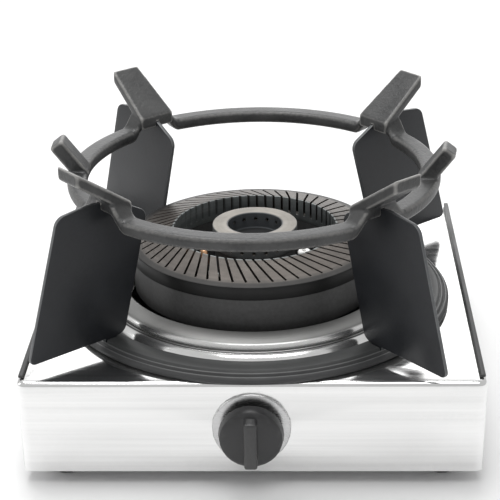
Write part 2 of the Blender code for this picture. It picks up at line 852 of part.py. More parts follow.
def prong_block(name, angle_deg):
    """A prong: a bar that slopes up and outward, wider over the ring than at its tip."""
    sides = [
        (PRONG_INNER_R, PRONG_INNER_TOP, PRONG_BASE_WIDTH / 2),
        (PRONG_TIP_R, PRONG_TIP_TOP, PRONG_TIP_WIDTH / 2),
    ]
    points = []
    for radius, top, half in sides:
        for across in (-half, half):
            points.append((radius, across, top))
            points.append((radius, across, top - PRONG_DROP))
    faces = [(0, 2, 3, 1), (4, 5, 7, 6), (0, 4, 6, 2), (1, 3, 7, 5), (0, 1, 5, 4), (2, 6, 7, 3)]
    block = new_object(name, points, faces, AXIS, STAND_TURN + math.radians(angle_deg))
    return soft_block(block, PRONG_EDGE_RADIUS)


def horn_block(name, angle_deg):
    """A short horn: a steeper bar that leans out from the ring's top."""
    base = Vector((HORN_BASE_R, HORN_BASE_Z))
    tip = base + Vector((HORN_LEAN, HORN_RISE))
    run = (tip - base).normalized()
    side = Vector((-run.y, run.x)) * HORN_DEPTH / 2
    outline = [tuple(base - side), tuple(tip - side), tuple(tip + side), tuple(base + side)]
    block = prism(name, outline, HORN_WIDTH / 2, AXIS, STAND_TURN + math.radians(angle_deg))
    return soft_block(block, HORN_EDGE_RADIUS)


def soft_block(block, width):
    rim = bmesh.new()
    rim.from_mesh(block.data)
    bmesh.ops.bevel(rim, geom=list(rim.edges), offset=width * MM, segments=2, profile=0.5, affect="EDGES")
    rim.to_mesh(block.data)
    rim.free()
    return block


def make_base_ring(finish):
    ring = revolve(
        "base_ring",
        [
            (BASE_INNER, REST_GAP),
            (BASE_OUTER - 1.2, REST_GAP),
            (BASE_OUTER, 1.4),
            (BASE_OUTER, 3.2),
            (BASE_OUTER - 1.6, 5.0),
            (BASE_OUTER - 2.6, 4.8),
            (BASE_OUTER - 3.8, 6.0),
            (BASE_OUTER - 5.0, BASE_HEIGHT - 0.6),
            (BASE_OUTER - 6.2, BASE_HEIGHT),
            (BASE_INNER + 1.2, BASE_HEIGHT),
            (BASE_INNER, BASE_HEIGHT - 1.2),
        ],
        MEDIUM,
        AXIS,
        STAND_TURN,
        finish,
    )
    slots = []
    half = WING_THICKNESS / 2 + FIT_GAP
    for angle in WING_ANGLES_DEG:
        slots.append(
            box(
                "tongue_slot",
                (TONGUE_INNER_R - FIT_GAP, -half, WING_FOOT_Z - TONGUE_DEPTH - FIT_GAP),
                (TONGUE_OUTER_R + FIT_GAP, half, BASE_HEIGHT + OVERSHOOT),
                AXIS,
                STAND_TURN + math.radians(angle),
            )
        )
    cut(ring, joined("cut_tongue_slots", slots))
    return smooth(ring)


def make_wings(finish):
    """Four plates, each with a tongue that drops into the base ring just after its inner foot corner."""
    body = rounded(WING_OUTLINE, WING_CORNER_RADIUS, WING_CORNER_STEPS)
    foot_start = 2 * (WING_CORNER_STEPS + 1)
    tongue = [
        (TONGUE_INNER_R, WING_FOOT_Z),
        (TONGUE_INNER_R, WING_FOOT_Z - TONGUE_DEPTH),
        (TONGUE_OUTER_R, WING_FOOT_Z - TONGUE_DEPTH),
        (TONGUE_OUTER_R, WING_FOOT_Z),
    ]
    outline = body[:foot_start] + tongue + body[foot_start:]
    for label, angle in zip(WING_NAMES, WING_ANGLES_DEG):
        wing = prism(
            f"wing_{label}",
            outline,
            WING_THICKNESS / 2,
            AXIS,
            STAND_TURN + math.radians(angle),
            finish,
        )
        bevel(smooth(wing), 0.5, 1)


# ---- Burner ----


def make_surround(finish):
    line = [
        (SURROUND_INNER, SURROUND_TOP - 3.0),
        (SURROUND_INNER + 1.5, SURROUND_TOP),
        (SURROUND_SHOULDER_R - 1.5, SURROUND_TOP - 2.6),
        (SURROUND_SHOULDER_R + 0.3, SURROUND_TOP - 4.6),
        (SURROUND_SHOULDER_R + 0.6, SURROUND_STEP_Z + 0.4),
        (SURROUND_STEP_R + 0.6, SURROUND_STEP_Z),
        (SURROUND_FOOT_R - 1.8, SURROUND_SHEET + REST_GAP + 0.4),
        (SURROUND_FOOT_R, SURROUND_SHEET + REST_GAP),
    ]
    return revolve("burner_surround", sheet_outline(line, SURROUND_SHEET), FINE, AXIS, finish=finish)


def make_burner_body(finish):
    neck = BODY_NECK_RADIUS
    wall = TROUGH_WALL
    floor = BODY_BOTTOM + wall
    trough = revolve(
        "burner_body",
        [
            (TROUGH_INNER, BODY_BOTTOM),
            (neck, BODY_BOTTOM),
            (neck, BODY_SHOULDER_Z - 3.0),
            (BODY_RADIUS, BODY_SHOULDER_Z),
            (BODY_RADIUS, BODY_TOP),
            (BODY_RADIUS - wall, BODY_TOP),
            (BODY_RADIUS - wall, BODY_SHOULDER_Z + 2.5),
            (neck - wall, BODY_SHOULDER_Z),
            (neck - wall, floor),
            (TROUGH_INNER + wall, floor),
            (TROUGH_INNER + wall, BODY_TOP),
            (TROUGH_INNER, BODY_TOP),
        ],
        MEDIUM,
        AXIS,
        finish=finish,
    )
    cup = revolve(
        "add_inner_cup",
        [
            (0.0, BODY_BOTTOM),
            (CUP_RADIUS, BODY_BOTTOM),
            (CUP_RADIUS, CUP_TOP),
            (CUP_RADIUS - CUP_WALL, CUP_TOP),
            (CUP_RADIUS - CUP_WALL, floor),
            (0.0, floor),
        ],
        COARSE,
        AXIS,
    )
    add(trough, cup)
    for index, angle in enumerate(WEB_ANGLES_DEG):
        web = box(
            f"add_web_{index}",
            (CUP_RADIUS - CUP_WALL / 2, -WEB_WIDTH / 2, BODY_BOTTOM + 0.5),
            (TROUGH_INNER + wall / 2, WEB_WIDTH / 2, WEB_TOP),
            AXIS,
            math.radians(angle),
        )
        add(trough, web)
    low = BODY_UNDERSIDE_WORLD_Z - OVERSHOOT
    high = BODY_UNDERSIDE_WORLD_Z + wall + OVERSHOOT
    holes = []
    for x, y, radius in tube_risers():
        holes.append(upright_rod("gas_hole", radius + FIT_GAP, low, high, x, BURNER_Y + y, SMALL))
    for side in (-1, 1):
        x = side * BURNER_SCREW_X
        holes.append(upright_rod("screw_hole", BURNER_SCREW_RADIUS + FIT_GAP, low, high, x, BURNER_Y))
    x, y = polar(SENSOR_RING_R, WEB_ANGLES_DEG[0])
    web_top = SHELL_TOP + WEB_TOP
    low = web_top - SENSOR_SCREW_LENGTH - 1.0
    high = web_top + OVERSHOOT
    radius = SENSOR_SCREW_RADIUS + FIT_GAP
    holes.append(upright_rod("sensor_screw_hole", radius, low, high, x, BURNER_Y + y))
    cut(trough, joined("cut_gas_holes", holes))
    return smooth(trough)


def tube_risers():
    """Where each mixing tube enters the burner body, as x and y from the burner axis, and its radius."""
    return [
        (OUTER_TUBE_X, OUTER_TUBE_RISE_Y, OUTER_RISER_RADIUS),
        (INNER_TUBE_X, INNER_TUBE_RISE_Y, INNER_TUBE_RADIUS),
    ]


def make_crown(finish):
    wall = CROWN_WALL
    inner = CROWN_INNER
    lip_top = BODY_TOP + REST_GAP
    lip_outer = BODY_RADIUS - TROUGH_WALL - FIT_GAP
    crown = revolve(
        "outer_crown",
        [
            (CROWN_OUTER, lip_top),
            (CROWN_OUTER, CROWN_EDGE_Z - 1.0),
            (CROWN_OUTER - 1.0, CROWN_EDGE_Z),
            (inner + 0.8, CROWN_INNER_Z),
            (inner, CROWN_INNER_Z - 0.8),
            (inner, lip_top),
            (inner + wall + 0.4, lip_top),
            (inner + wall + 0.4, lip_top - CROWN_LIP_DEPTH + 1.0),
            (inner + wall + 2.0, lip_top - CROWN_LIP_DEPTH + 1.0),
            (inner + wall + 2.0, CROWN_INNER_Z - wall - 1.6),
            (lip_outer - wall, CROWN_EDGE_Z - wall + 0.6),
            (lip_outer - 2.4, lip_top - CROWN_LIP_DEPTH),
            (lip_outer, lip_top - CROWN_LIP_DEPTH),
            (lip_outer, lip_top),
        ],
        SLOT_COUNT,
        AXIS,
        finish=finish,
    )
    slots = []
    slant = math.radians(SLOT_SLANT_DEG)
    length = slot_reach(inner, SLOT_OUTER_R, slant)
    for index in range(SLOT_COUNT):
        around = 2 * math.pi * (index + 0.5) / SLOT_COUNT
        slot = box(
            "slot",
            (-SLOT_OVERSHOOT, -SLOT_WIDTH / 2, SLOT_BOTTOM_Z),
            (length, SLOT_WIDTH / 2, CROWN_INNER_Z + OVERSHOOT),
        )
        x, y = inner * math.cos(around), inner * math.sin(around)
        slot.matrix_world = (
            Matrix.Translation(Vector((x, BURNER_Y + y, SHELL_TOP)) * MM)
            @ Matrix.Rotation(around + slant, 4, "Z")
        )
        slots.append(slot)
    cut(crown, joined("cut_crown_slots", slots))
    return smooth(crown)


def slot_reach(start_r, end_r, slant):
    """Length of a line that leaves a circle at a slant to the radius and ends on a larger circle."""
    across = start_r * math.sin(slant)
    return math.sqrt(end_r**2 - across**2) - start_r * math.cos(slant)


def make_inner_cap(finish):
    lip_top = CUP_TOP + REST_GAP
    lip_outer = CUP_RADIUS - CUP_WALL - FIT_GAP
    well = CAP_TOP - CAP_WELL_DEPTH
    cap = revolve(
        "inner_cap",
        [
            (0.0, well),
            (CAP_HOLE, well),
            (CAP_HOLE, CAP_TOP - 0.6),
            (CAP_HOLE + 0.6, CAP_TOP),
            (CAP_OUTER - 0.8, CAP_TOP),
            (CAP_OUTER, CAP_TOP - 0.8),
            (CAP_OUTER, lip_top),
            (lip_outer, lip_top),
            (lip_outer, lip_top - CAP_LIP_DEPTH),
            (lip_outer - 1.6, lip_top - CAP_LIP_DEPTH),
            (CAP_OUTER - CAP_WALL - 1.6, CAP_TOP - CAP_WALL),
            (CAP_HOLE + CAP_WALL, CAP_TOP - CAP_WALL),
            (CAP_HOLE + CAP_WALL, well - CAP_WALL),
            (0.0, well - CAP_WALL),
        ],
        CAP_STEPS,
        AXIS,
        finish=finish,
    )
    ports = []
    for count, low, high, height in (
        (INNER_PORT_COUNT, CAP_HOLE - 3.0, CAP_HOLE + CAP_WALL + 1.5, INNER_PORT_Z),
        (OUTER_PORT_COUNT, CAP_OUTER - CAP_WALL - 4.0, CAP_OUTER + 3.0, OUTER_PORT_Z),
    ):
        for index in range(count):
            around = 2 * math.pi * (index + 0.5) / count
            ends = [(reach * math.cos(around), reach * math.sin(around), height) for reach in (low, high)]
            ports.append(tube("port", ends, PORT_RADIUS, 0.0, 6, AXIS))
    cut(cap, joined("cut_cap_ports", ports))
    return smooth(cap)


# ---- Mixing tubes, air shutters and jets ----


def make_mixing_tube(name, x, rise_y, radius, riser_radius, finish):
    """A horizontal tube from its flared mouth, bending up into the burner body."""
    riser_start = BODY_BOTTOM - RISER_GAP
    corners = [(x, TUBE_MOUTH_Y, TUBE_Z), (x, rise_y, TUBE_Z), (x, rise_y, riser_start)]
    path = bent_path(corners, min(TUBE_BEND_RADIUS, riser_start - TUBE_Z))
    path.append((x, rise_y, BODY_BOTTOM + TROUGH_WALL))
    body = tube(name, path, radius, radius - TUBE_WALL, SMALL + 2, AXIS, finish)
    if riser_radius < radius:
        taper_riser(body, riser_radius / radius, riser_start, x, rise_y)
    start = TUBE_MOUTH_Y + SHUTTER_WINDOW_START
    window = box(
        f"cut_{name}_window",
        (x - SHUTTER_WINDOW_WIDTH / 2, start, TUBE_Z - radius - OVERSHOOT),
        (x + SHUTTER_WINDOW_WIDTH / 2, start + SHUTTER_WINDOW_LENGTH, TUBE_Z + radius + OVERSHOOT),
        AXIS,
    )
    return cut(body, window)


def taper_riser(body, shrink, start_z, x, rise_y):
    """Narrows a tube from a height upward, so that it fits the hole above it."""
    for vertex in body.data.vertices:
        if vertex.co.z / MM > start_z - REST_GAP:
            vertex.co.x = (x + (vertex.co.x / MM - x) * shrink) * MM
            vertex.co.y = (rise_y + (vertex.co.y / MM - rise_y) * shrink) * MM


def make_shutter(name, x, radius, finish):
    """A sleeve with two windows that turns round the mouth of a mixing tube."""
    inner = radius + FIT_GAP
    outer = inner + SHUTTER_WALL
    origin = (x, BURNER_Y + TUBE_MOUTH_Y, TUBE_WORLD_Z)
    ends = [(0.0, SHUTTER_MOUTH_GAP, 0.0), (0.0, SHUTTER_LENGTH, 0.0)]
    sleeve = tube(name, ends, outer, inner, SMALL + 2, origin, finish)
    tab_end = SHUTTER_LENGTH - SHUTTER_MOUTH_GAP
    tab = box(
        f"add_{name}_tab",
        (-SHUTTER_TAB_WIDTH / 2, tab_end - SHUTTER_TAB_LENGTH, -outer - SHUTTER_TAB_REACH),
        (SHUTTER_TAB_WIDTH / 2, tab_end, -inner - SHUTTER_WALL / 3),
        origin,
    )
    window = box(
        f"cut_{name}_window",
        (-SHUTTER_WINDOW_WIDTH / 2, SHUTTER_WINDOW_START, -outer - OVERSHOOT),
        (SHUTTER_WINDOW_WIDTH / 2, SHUTTER_WINDOW_START + SHUTTER_WINDOW_LENGTH, outer + OVERSHOOT),
        origin,
    )
    return cut(add(sleeve, tab), window)


def make_jet(name, x, finish):
    origin = (x, VALVE_BACK_Y + REST_GAP, TUBE_WORLD_Z)
    shoulder = JET_RADIUS + JET_SHOULDER
    profile = [
        (JET_BORE_RADIUS, 0.0),
        (shoulder, 0.0),
        (shoulder, 3.5),
        (JET_RADIUS, 4.0),
        (JET_RADIUS - 1.0, JET_LENGTH),
        (JET_BORE_RADIUS, JET_LENGTH),
    ]
    return revolve(name, profile, SMALL, origin, finish=finish, along="Y")


# ---- Valve, knob and gas supply ----


def make_valve(finish):
    half = VALVE_WIDTH / 2
    valve = box(
        "valve_body",
        (-half, VALVE_FRONT_Y, KNOB_Z - half),
        (half, VALVE_BACK_Y, KNOB_Z + half),
        finish=finish,
    )
    manifold = box(
        "add_manifold",
        (MANIFOLD_LEFT, VALVE_BACK_Y - MANIFOLD_DEPTH, TUBE_WORLD_Z - MANIFOLD_HEIGHT / 2),
        (MANIFOLD_RIGHT, VALVE_BACK_Y, TUBE_WORLD_Z + MANIFOLD_HEIGHT / 2),
    )
    bore_start = VALVE_FRONT_Y - OVERSHOOT
    bore_end = VALVE_FRONT_Y + VALVE_BORE_DEPTH
    bore = rod_along_y("cut_valve_bore", VALVE_BORE_RADIUS, bore_start, bore_end, 0.0, KNOB_Z)
    bevel(add(valve, manifold), VALVE_EDGE_RADIUS)
    return cut(valve, bore)


def make_spindle_and_knob(spindle_finish, knob_finish, plug_finish):
    knob_back = FRONT_FACE_Y - KNOB_GAP
    knob_front = FRONT_FACE_Y - KNOB_REACH
    origin = (0.0, FRONT_FACE_Y, KNOB_Z)
    plug_back = VALVE_FRONT_Y + VALVE_BORE_DEPTH - FIT_GAP
    plug_floor = PLUG_LENGTH - PLUG_BORE_DEPTH
    socket = SPINDLE_RADIUS + FIT_GAP
    plug = revolve(
        "valve_plug",
        [
            (0.0, 0.0),
            (VALVE_BORE_RADIUS - FIT_GAP, 0.0),
            (VALVE_BORE_RADIUS - FIT_GAP, PLUG_LENGTH),
            (socket, PLUG_LENGTH),
            (socket, plug_floor),
            (0.0, plug_floor),
        ],
        SMALL,
        (0.0, plug_back, KNOB_Z),
        finish=plug_finish,
        along="Y",
    )
    turn_to_front(plug)
    start = plug_back - plug_floor - KNOB_PUSH - FIT_GAP - FRONT_FACE_Y
    end = knob_back - FRONT_FACE_Y - KNOB_BORE_DEPTH
    ends = [(0.0, start, 0.0), (0.0, end, 0.0)]
    tube("valve_spindle", ends, SPINDLE_RADIUS, 0.0, SMALL, origin, spindle_finish)
    depth = KNOB_BORE_DEPTH + FIT_GAP
    knob = revolve(
        "knob",
        [
            (0.0, depth),
            (socket, depth),
            (socket, 0.0),
            (KNOB_RADIUS - 1.0, 0.0),
            (KNOB_RADIUS, 1.0),
            (KNOB_RADIUS - 1.0, KNOB_SKIRT),
            (KNOB_RADIUS - 3.0, KNOB_DOME - 0.5),
            (0.0, KNOB_DOME),
        ],
        COARSE,
        (0.0, knob_back, KNOB_Z),
        finish=knob_finish,
        along="Y",
    )
    turn_to_front(knob)
    grip_half = KNOB_RADIUS - KNOB_GRIP_INSET
    grip = box(
        "add_knob_grip",
        (-KNOB_GRIP_WIDTH / 2, knob_front, KNOB_Z - grip_half),
        (KNOB_GRIP_WIDTH / 2, knob_back - KNOB_GRIP_START, KNOB_Z + grip_half),
    )
    soft_block(grip, KNOB_GRIP_EDGE_RADIUS)
    add(knob, grip)
    bezel_bore = SPINDLE_RADIUS + BEZEL_BORE_GAP
    bezel = revolve(
        "knob_bezel",
        [
            (bezel_bore, 0.0),
            (BEZEL_RADIUS, 0.0),
            (BEZEL_RADIUS, BEZEL_THICKNESS - 0.6),
            (BEZEL_RADIUS - 0.6, BEZEL_THICKNESS),
            (bezel_bore, BEZEL_THICKNESS),
        ],
        COARSE,
        (0.0, FRONT_FACE_Y - REST_GAP, KNOB_Z),
        finish=spindle_finish,
        along="Y",
    )
    turn_to_front(bezel)


def turn_to_front(obj):
    """Mirrors a piece made along +Y so that it grows toward the front."""
    flipped = bmesh.new()
    flipped.from_mesh(obj.data)
    half_turn = Matrix.Rotation(math.pi, 3, "Z")
    bmesh.ops.rotate(flipped, verts=flipped.verts, cent=(0.0, 0.0, 0.0), matrix=half_turn)
    flipped.to_mesh(obj.data)
    flipped.free()
    return smooth(obj)


def make_supply(pipe_finish, brass):
    """The pipe from the back to the manifold, and the hose inlet that a nut clamps to the back wall."""
    path = bent_path(
        [
            (PIPE_X, BACK_FACE_Y - SHEET - INLET_TAIL - INLET_PIPE_GAP, TUBE_WORLD_Z),
            (PIPE_X, PIPE_Y, TUBE_WORLD_Z),
            (MANIFOLD_RIGHT + REST_GAP, PIPE_Y, TUBE_WORLD_Z),
        ],
        PIPE_BEND_RADIUS,
    )
    tube("gas_pipe", path, PIPE_RADIUS, PIPE_RADIUS - PIPE_WALL, SMALL, finish=pipe_finish)
    thread = INLET_THREAD_RADIUS
    nut = thread + INLET_NUT_RIM
    barb = INLET_RADIUS
    revolve(
        "gas_inlet",
        [
            (INLET_BORE_RADIUS, -SHEET - INLET_TAIL),
            (thread, -SHEET - INLET_TAIL),
            (thread, REST_GAP),
            (nut, REST_GAP),
            (nut, 6.0),
            (barb, 7.0),
            (barb, 10.0),
            (barb + 1.0, 10.5),
            (barb, 15.0),
            (barb + 1.0, 15.5),
            (barb - 0.6, INLET_REACH),
            (INLET_BORE_RADIUS, INLET_REACH),
        ],
        SMALL,
        (PIPE_X, BACK_FACE_Y, TUBE_WORLD_Z),
        finish=brass,
        along="Y",
    )
    lock = thread + FIT_GAP
    end = BACK_FACE_Y - SHEET - REST_GAP
    start = end - LOCK_NUT_LENGTH
    lock_nut = rod_along_y("inlet_nut", lock + LOCK_NUT_RIM, start, end, PIPE_X, TUBE_WORLD_Z, 6, brass)
    bore = rod_along_y(
        "cut_nut_bore",
        lock,
        start - OVERSHOOT,
        end + OVERSHOOT,
        PIPE_X,
        TUBE_WORLD_Z,
    )
    cut(lock_nut, bore)


# ---- Igniter, flame sensor and their bracket ----


def sensor_bracket_heights():
    low = WEB_TOP + REST_GAP
    return low, low + SENSOR_BRACKET_SHEET


def make_sensor_bracket(finish, screw_finish):
    """A curved strip on the front web of the burner body, which holds the igniter and the flame sensor."""
    low, high = sensor_bracket_heights()
    start = THERMOCOUPLE_ANGLE_DEG - 360.0 - SENSOR_BRACKET_END_DEG
    stop = IGNITER_ANGLE_DEG + SENSOR_BRACKET_END_DEG
    angles = [start + (stop - start) * step / BRACKET_ARC_STEPS for step in range(BRACKET_ARC_STEPS + 1)]
    outer = [polar(SENSOR_RING_R + SENSOR_BRACKET_HALF_WIDTH, angle) for angle in angles]
    inner = [polar(SENSOR_RING_R - SENSOR_BRACKET_HALF_WIDTH, angle) for angle in reversed(angles)]
    bracket = plate("sensor_bracket", outer + inner, low, high, AXIS, finish=finish)
    hole_low = SHELL_TOP + low - OVERSHOOT
    hole_high = SHELL_TOP + high + OVERSHOOT
    holes = []
    for angle, radius in (
        (IGNITER_ANGLE_DEG, CERAMIC_RADIUS),
        (THERMOCOUPLE_ANGLE_DEG, THERMOCOUPLE_RADIUS),
        (WEB_ANGLES_DEG[0], SENSOR_SCREW_RADIUS),
    ):
        x, y = polar(SENSOR_RING_R, angle)
        hole = upright_rod("hole", radius + FIT_GAP, hole_low, hole_high, x, BURNER_Y + y, SMALL)
        holes.append(hole)
    cut(bracket, joined("cut_bracket_holes", holes))
    x, y = polar(SENSOR_RING_R, WEB_ANGLES_DEG[0])
    seat = high + REST_GAP
    revolve(
        "sensor_bracket_screw",
        [
            (0.0, low - SENSOR_SCREW_LENGTH),
            (SENSOR_SCREW_RADIUS, low - SENSOR_SCREW_LENGTH),
            (SENSOR_SCREW_RADIUS, seat),
            (SENSOR_SCREW_HEAD_RADIUS, seat),
            (SENSOR_SCREW_HEAD_RADIUS, seat + 1.7),
            (0.0, seat + 2.3),
        ],
        SCREW_STEPS,
        (x, BURNER_Y + y, SHELL_TOP),
        finish=screw_finish,
    )


def make_igniter(ceramic, metal):
    """A ceramic tube with a rod through it, bent at the top toward the burner's middle."""
    x, y = polar(SENSOR_RING_R, IGNITER_ANGLE_DEG)
    place = (x, BURNER_Y + y, SHELL_TOP)
    revolve(
        "igniter_ceramic",
        [
            (IGNITER_ROD_BORE, CERAMIC_BOTTOM),
            (CERAMIC_RADIUS - 0.6, CERAMIC_BOTTOM),
            (CERAMIC_RADIUS, CERAMIC_BOTTOM + 1.0),
            (CERAMIC_RADIUS, CERAMIC_TOP - 1.0),
            (CERAMIC_RADIUS - 0.6, CERAMIC_TOP),
            (IGNITER_ROD_BORE, CERAMIC_TOP),
        ],
        SMALL,
        place,
        finish=ceramic,
    )
    toward = Vector((-x, -y)).normalized() * IGNITER_TIP_REACH
    tip_z = CERAMIC_TOP + IGNITER_TIP_RISE
    rod = [
        (0.0, 0.0, IGNITER_ROD_BOTTOM),
        (0.0, 0.0, CERAMIC_TOP + 2.0),
        (toward.x, toward.y, tip_z),
    ]
    tube("igniter_rod", rod, IGNITER_ROD_RADIUS, 0.0, LEAD_STEPS, place, metal)


def make_thermocouple(copper):
    """The flame sensor: a rod with a collar and a thicker tip."""
    x, y = polar(SENSOR_RING_R, THERMOCOUPLE_ANGLE_DEG)
    collar_top = THERMOCOUPLE_TOP - THERMOCOUPLE_TIP_LENGTH
    collar_bottom = collar_top - THERMOCOUPLE_COLLAR_LENGTH
    revolve(
        "thermocouple",
        [
            (0.0, THERMOCOUPLE_BOTTOM),
            (THERMOCOUPLE_RADIUS, THERMOCOUPLE_BOTTOM),
            (THERMOCOUPLE_RADIUS, collar_bottom - 0.5),
            (THERMOCOUPLE_COLLAR_RADIUS, collar_bottom),
            (THERMOCOUPLE_COLLAR_RADIUS, collar_top),
            (THERMOCOUPLE_TIP_RADIUS, collar_top + 0.5),
            (THERMOCOUPLE_TIP_RADIUS, THERMOCOUPLE_TOP - 1.5),
            (0.0, THERMOCOUPLE_TOP),
        ],
        SMALL,
        (x, BURNER_Y + y, SHELL_TOP),
        finish=copper,
    )


def make_lead(name, angle_deg, start_z, radius, setback, end, finish):
    """A lead from a piece on the sensor ring, forward under the burner, across, and to its end."""
    x, y = polar(SENSOR_RING_R, angle_deg)
    run_z = BODY_UNDERSIDE_WORLD_Z - LEAD_DROP
    across_y = TUBE_MOUTH_WORLD_Y - setback
    path = bent_path(
        [
            (x, BURNER_Y + y, start_z),
            (x, BURNER_Y + y, run_z),
            (x, across_y, run_z),
            (end[0], across_y, run_z),
            (end[0], across_y, end[2]),
            end,
        ],
        LEAD_BEND_RADIUS,
        3,
    )
    tube(name, path, radius, 0.0, LEAD_STEPS, finish=finish)


def make_piezo_and_leads(finish, lead_finish, copper):
    half = VALVE_WIDTH / 2
    front = VALVE_FRONT_Y + PIEZO_SETBACK
    back = front + PIEZO_LENGTH
    low = KNOB_Z + PIEZO_RISE
    piezo = box(
        "piezo_igniter",
        (-half - PIEZO_WIDTH, front, low),
        (-half - REST_GAP, back, low + PIEZO_HEIGHT),
        finish=finish,
    )
    bevel(piezo, PIEZO_EDGE_RADIUS)
    make_lead(
        "igniter_lead",
        IGNITER_ANGLE_DEG,
        SHELL_TOP + IGNITER_ROD_BOTTOM - LEAD_END_GAP,
        IGNITER_LEAD_RADIUS,
        IGNITER_LEAD_SETBACK,
        (-half - PIEZO_WIDTH / 2, back + REST_GAP, low + PIEZO_HEIGHT / 2),
        lead_finish,
    )
    make_lead(
        "thermocouple_lead",
        THERMOCOUPLE_ANGLE_DEG,
        SHELL_TOP + THERMOCOUPLE_BOTTOM - REST_GAP,
        THERMOCOUPLE_LEAD_RADIUS,
        THERMOCOUPLE_LEAD_SETBACK,
        (THERMOCOUPLE_VALVE_X, VALVE_BACK_Y + REST_GAP, KNOB_Z + THERMOCOUPLE_VALVE_RISE),
        copper,
    )


# ---- Brackets that carry the burner and the valve ----


def make_burner_brackets(finish, screw_finish):
    """Two Z-shaped brackets that stand on the tray and carry the burner body by a screw each."""
    top = BODY_UNDERSIDE_WORLD_Z - REST_GAP
    low = TRAY_TOP + REST_GAP
    seat = top - SHEET - REST_GAP
    for side, label in ((-1, "left"), (1, "right")):
        outline = [
            (BRACKET_FOOT_X, low),
            (BRACKET_FOOT_X, low + SHEET),
            (BRACKET_WEB_X + SHEET, low + SHEET),
            (BRACKET_WEB_X + SHEET, top),
            (BRACKET_SHELF_X, top),
            (BRACKET_SHELF_X, top - SHEET),
            (BRACKET_WEB_X, top - SHEET),
            (BRACKET_WEB_X, low),
        ]
        if side < 0:
            outline = [(-x, z) for x, z in reversed(outline)]
        place = (0.0, BURNER_Y, 0.0)
        bracket = prism(f"burner_bracket_{label}", outline, BRACKET_HALF_WIDTH, place, finish=finish)
        x = side * BURNER_SCREW_X
        hole = upright_rod(
            f"cut_bracket_{label}",
            BURNER_SCREW_RADIUS + FIT_GAP,
            top - OVERSHOOT,
            top + OVERSHOOT,
            x,
            BURNER_Y,
        )
        cut(bracket, hole)
        revolve(
            f"burner_screw_{label}",
            [
                (0.0, seat - BURNER_SCREW_HEAD),
                (BURNER_SCREW_HEAD_RADIUS, seat - BURNER_SCREW_HEAD + 0.2),
                (BURNER_SCREW_HEAD_RADIUS, seat),
                (BURNER_SCREW_RADIUS, seat),
                (BURNER_SCREW_RADIUS, top + TROUGH_WALL + 1.0),
                (0.0, top + TROUGH_WALL + 1.6),
            ],
            SCREW_STEPS,
            (x, BURNER_Y, 0.0),
            finish=screw_finish,
        )


def make_valve_bracket(finish):
    low = TRAY_TOP + REST_GAP
    top = TUBE_WORLD_Z - MANIFOLD_HEIGHT / 2 - REST_GAP
    back = VALVE_BACK_Y - VALVE_BRACKET_SETBACK
    box(
        "valve_bracket",
        (MANIFOLD_LEFT + VALVE_BRACKET_INSET, back - VALVE_BRACKET_DEPTH, low),
        (MANIFOLD_RIGHT - VALVE_BRACKET_INSET, back, top),
        finish=finish,
    )


def main():
    clear_scene()
    stainless = material("stainless_steel", (0.80, 0.80, 0.79), 0.16, 1.0)
    cast = material("enamelled_cast_iron", (0.045, 0.047, 0.052), 0.52, 0.0)
    wing = material("enamelled_sheet", (0.030, 0.032, 0.037), 0.45, 0.0)
    crown = material("fired_crown", (0.27, 0.24, 0.22), 0.5, 0.6)
    body = material("dark_cast_body", (0.030, 0.031, 0.032), 0.55, 0.3)
    trim = material("dark_trim", (0.02, 0.02, 0.02), 0.4, 0.0)
    tray = material("galvanised_sheet", (0.52, 0.53, 0.54), 0.4, 0.9)
    rubber = material("rubber", (0.02, 0.02, 0.02), 0.8, 0.0)
    brass = material("brass", (0.70, 0.52, 0.24), 0.3, 1.0)
    steel = material("plain_steel", (0.60, 0.60, 0.60), 0.3, 1.0)
    copper = material("copper", (0.75, 0.38, 0.20), 0.35, 1.0)
    ceramic = material("ceramic", (0.88, 0.87, 0.84), 0.3, 0.0)
    plastic = material("black_plastic", (0.02, 0.02, 0.022), 0.35, 0.0)
    lead = material("lead_sleeve", (0.35, 0.06, 0.04), 0.5, 0.0)
    alloy = material("die_cast_alloy", (0.55, 0.55, 0.56), 0.45, 0.9)

    make_shell(stainless)
    make_trims(trim)
    make_tray(tray)
    make_feet(rubber, steel)
    make_support_ring(cast)
    make_base_ring(cast)
    make_wings(wing)
    make_surround(stainless)
    make_burner_body(body)
    make_crown(crown)
    make_inner_cap(crown)
    for name, x, rise, radius, riser in (
        ("outer", OUTER_TUBE_X, OUTER_TUBE_RISE_Y, OUTER_TUBE_RADIUS, OUTER_RISER_RADIUS),
        ("inner", INNER_TUBE_X, INNER_TUBE_RISE_Y, INNER_TUBE_RADIUS, INNER_TUBE_RADIUS),
    ):
        make_mixing_tube(f"{name}_mixing_tube", x, rise, radius, riser, alloy)
        make_shutter(f"{name}_air_shutter", x, radius, steel)
        make_jet(f"{name}_jet", x, brass)
    make_valve(alloy)
    make_spindle_and_knob(steel, plastic, brass)
    make_supply(alloy, brass)
    make_sensor_bracket(steel, steel)
    make_igniter(ceramic, steel)
    make_thermocouple(copper)
    make_piezo_and_leads(plastic, lead, copper)
    make_burner_brackets(tray, steel)
    make_valve_bracket(tray)


main()
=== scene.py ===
# %% [markdown]
# # A table-top gas burner and its pan support
#
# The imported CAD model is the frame: it gives every piece's place and every moving body. This script
# rebuilds the pieces that show with finer meshes, gives everything a worked-out finish, and lights it.
# All lengths below are in metres once they reach a mesh, and MM turns millimetres into them.

import json
import math

import bmesh
import bpy
from mathutils import Matrix, Vector


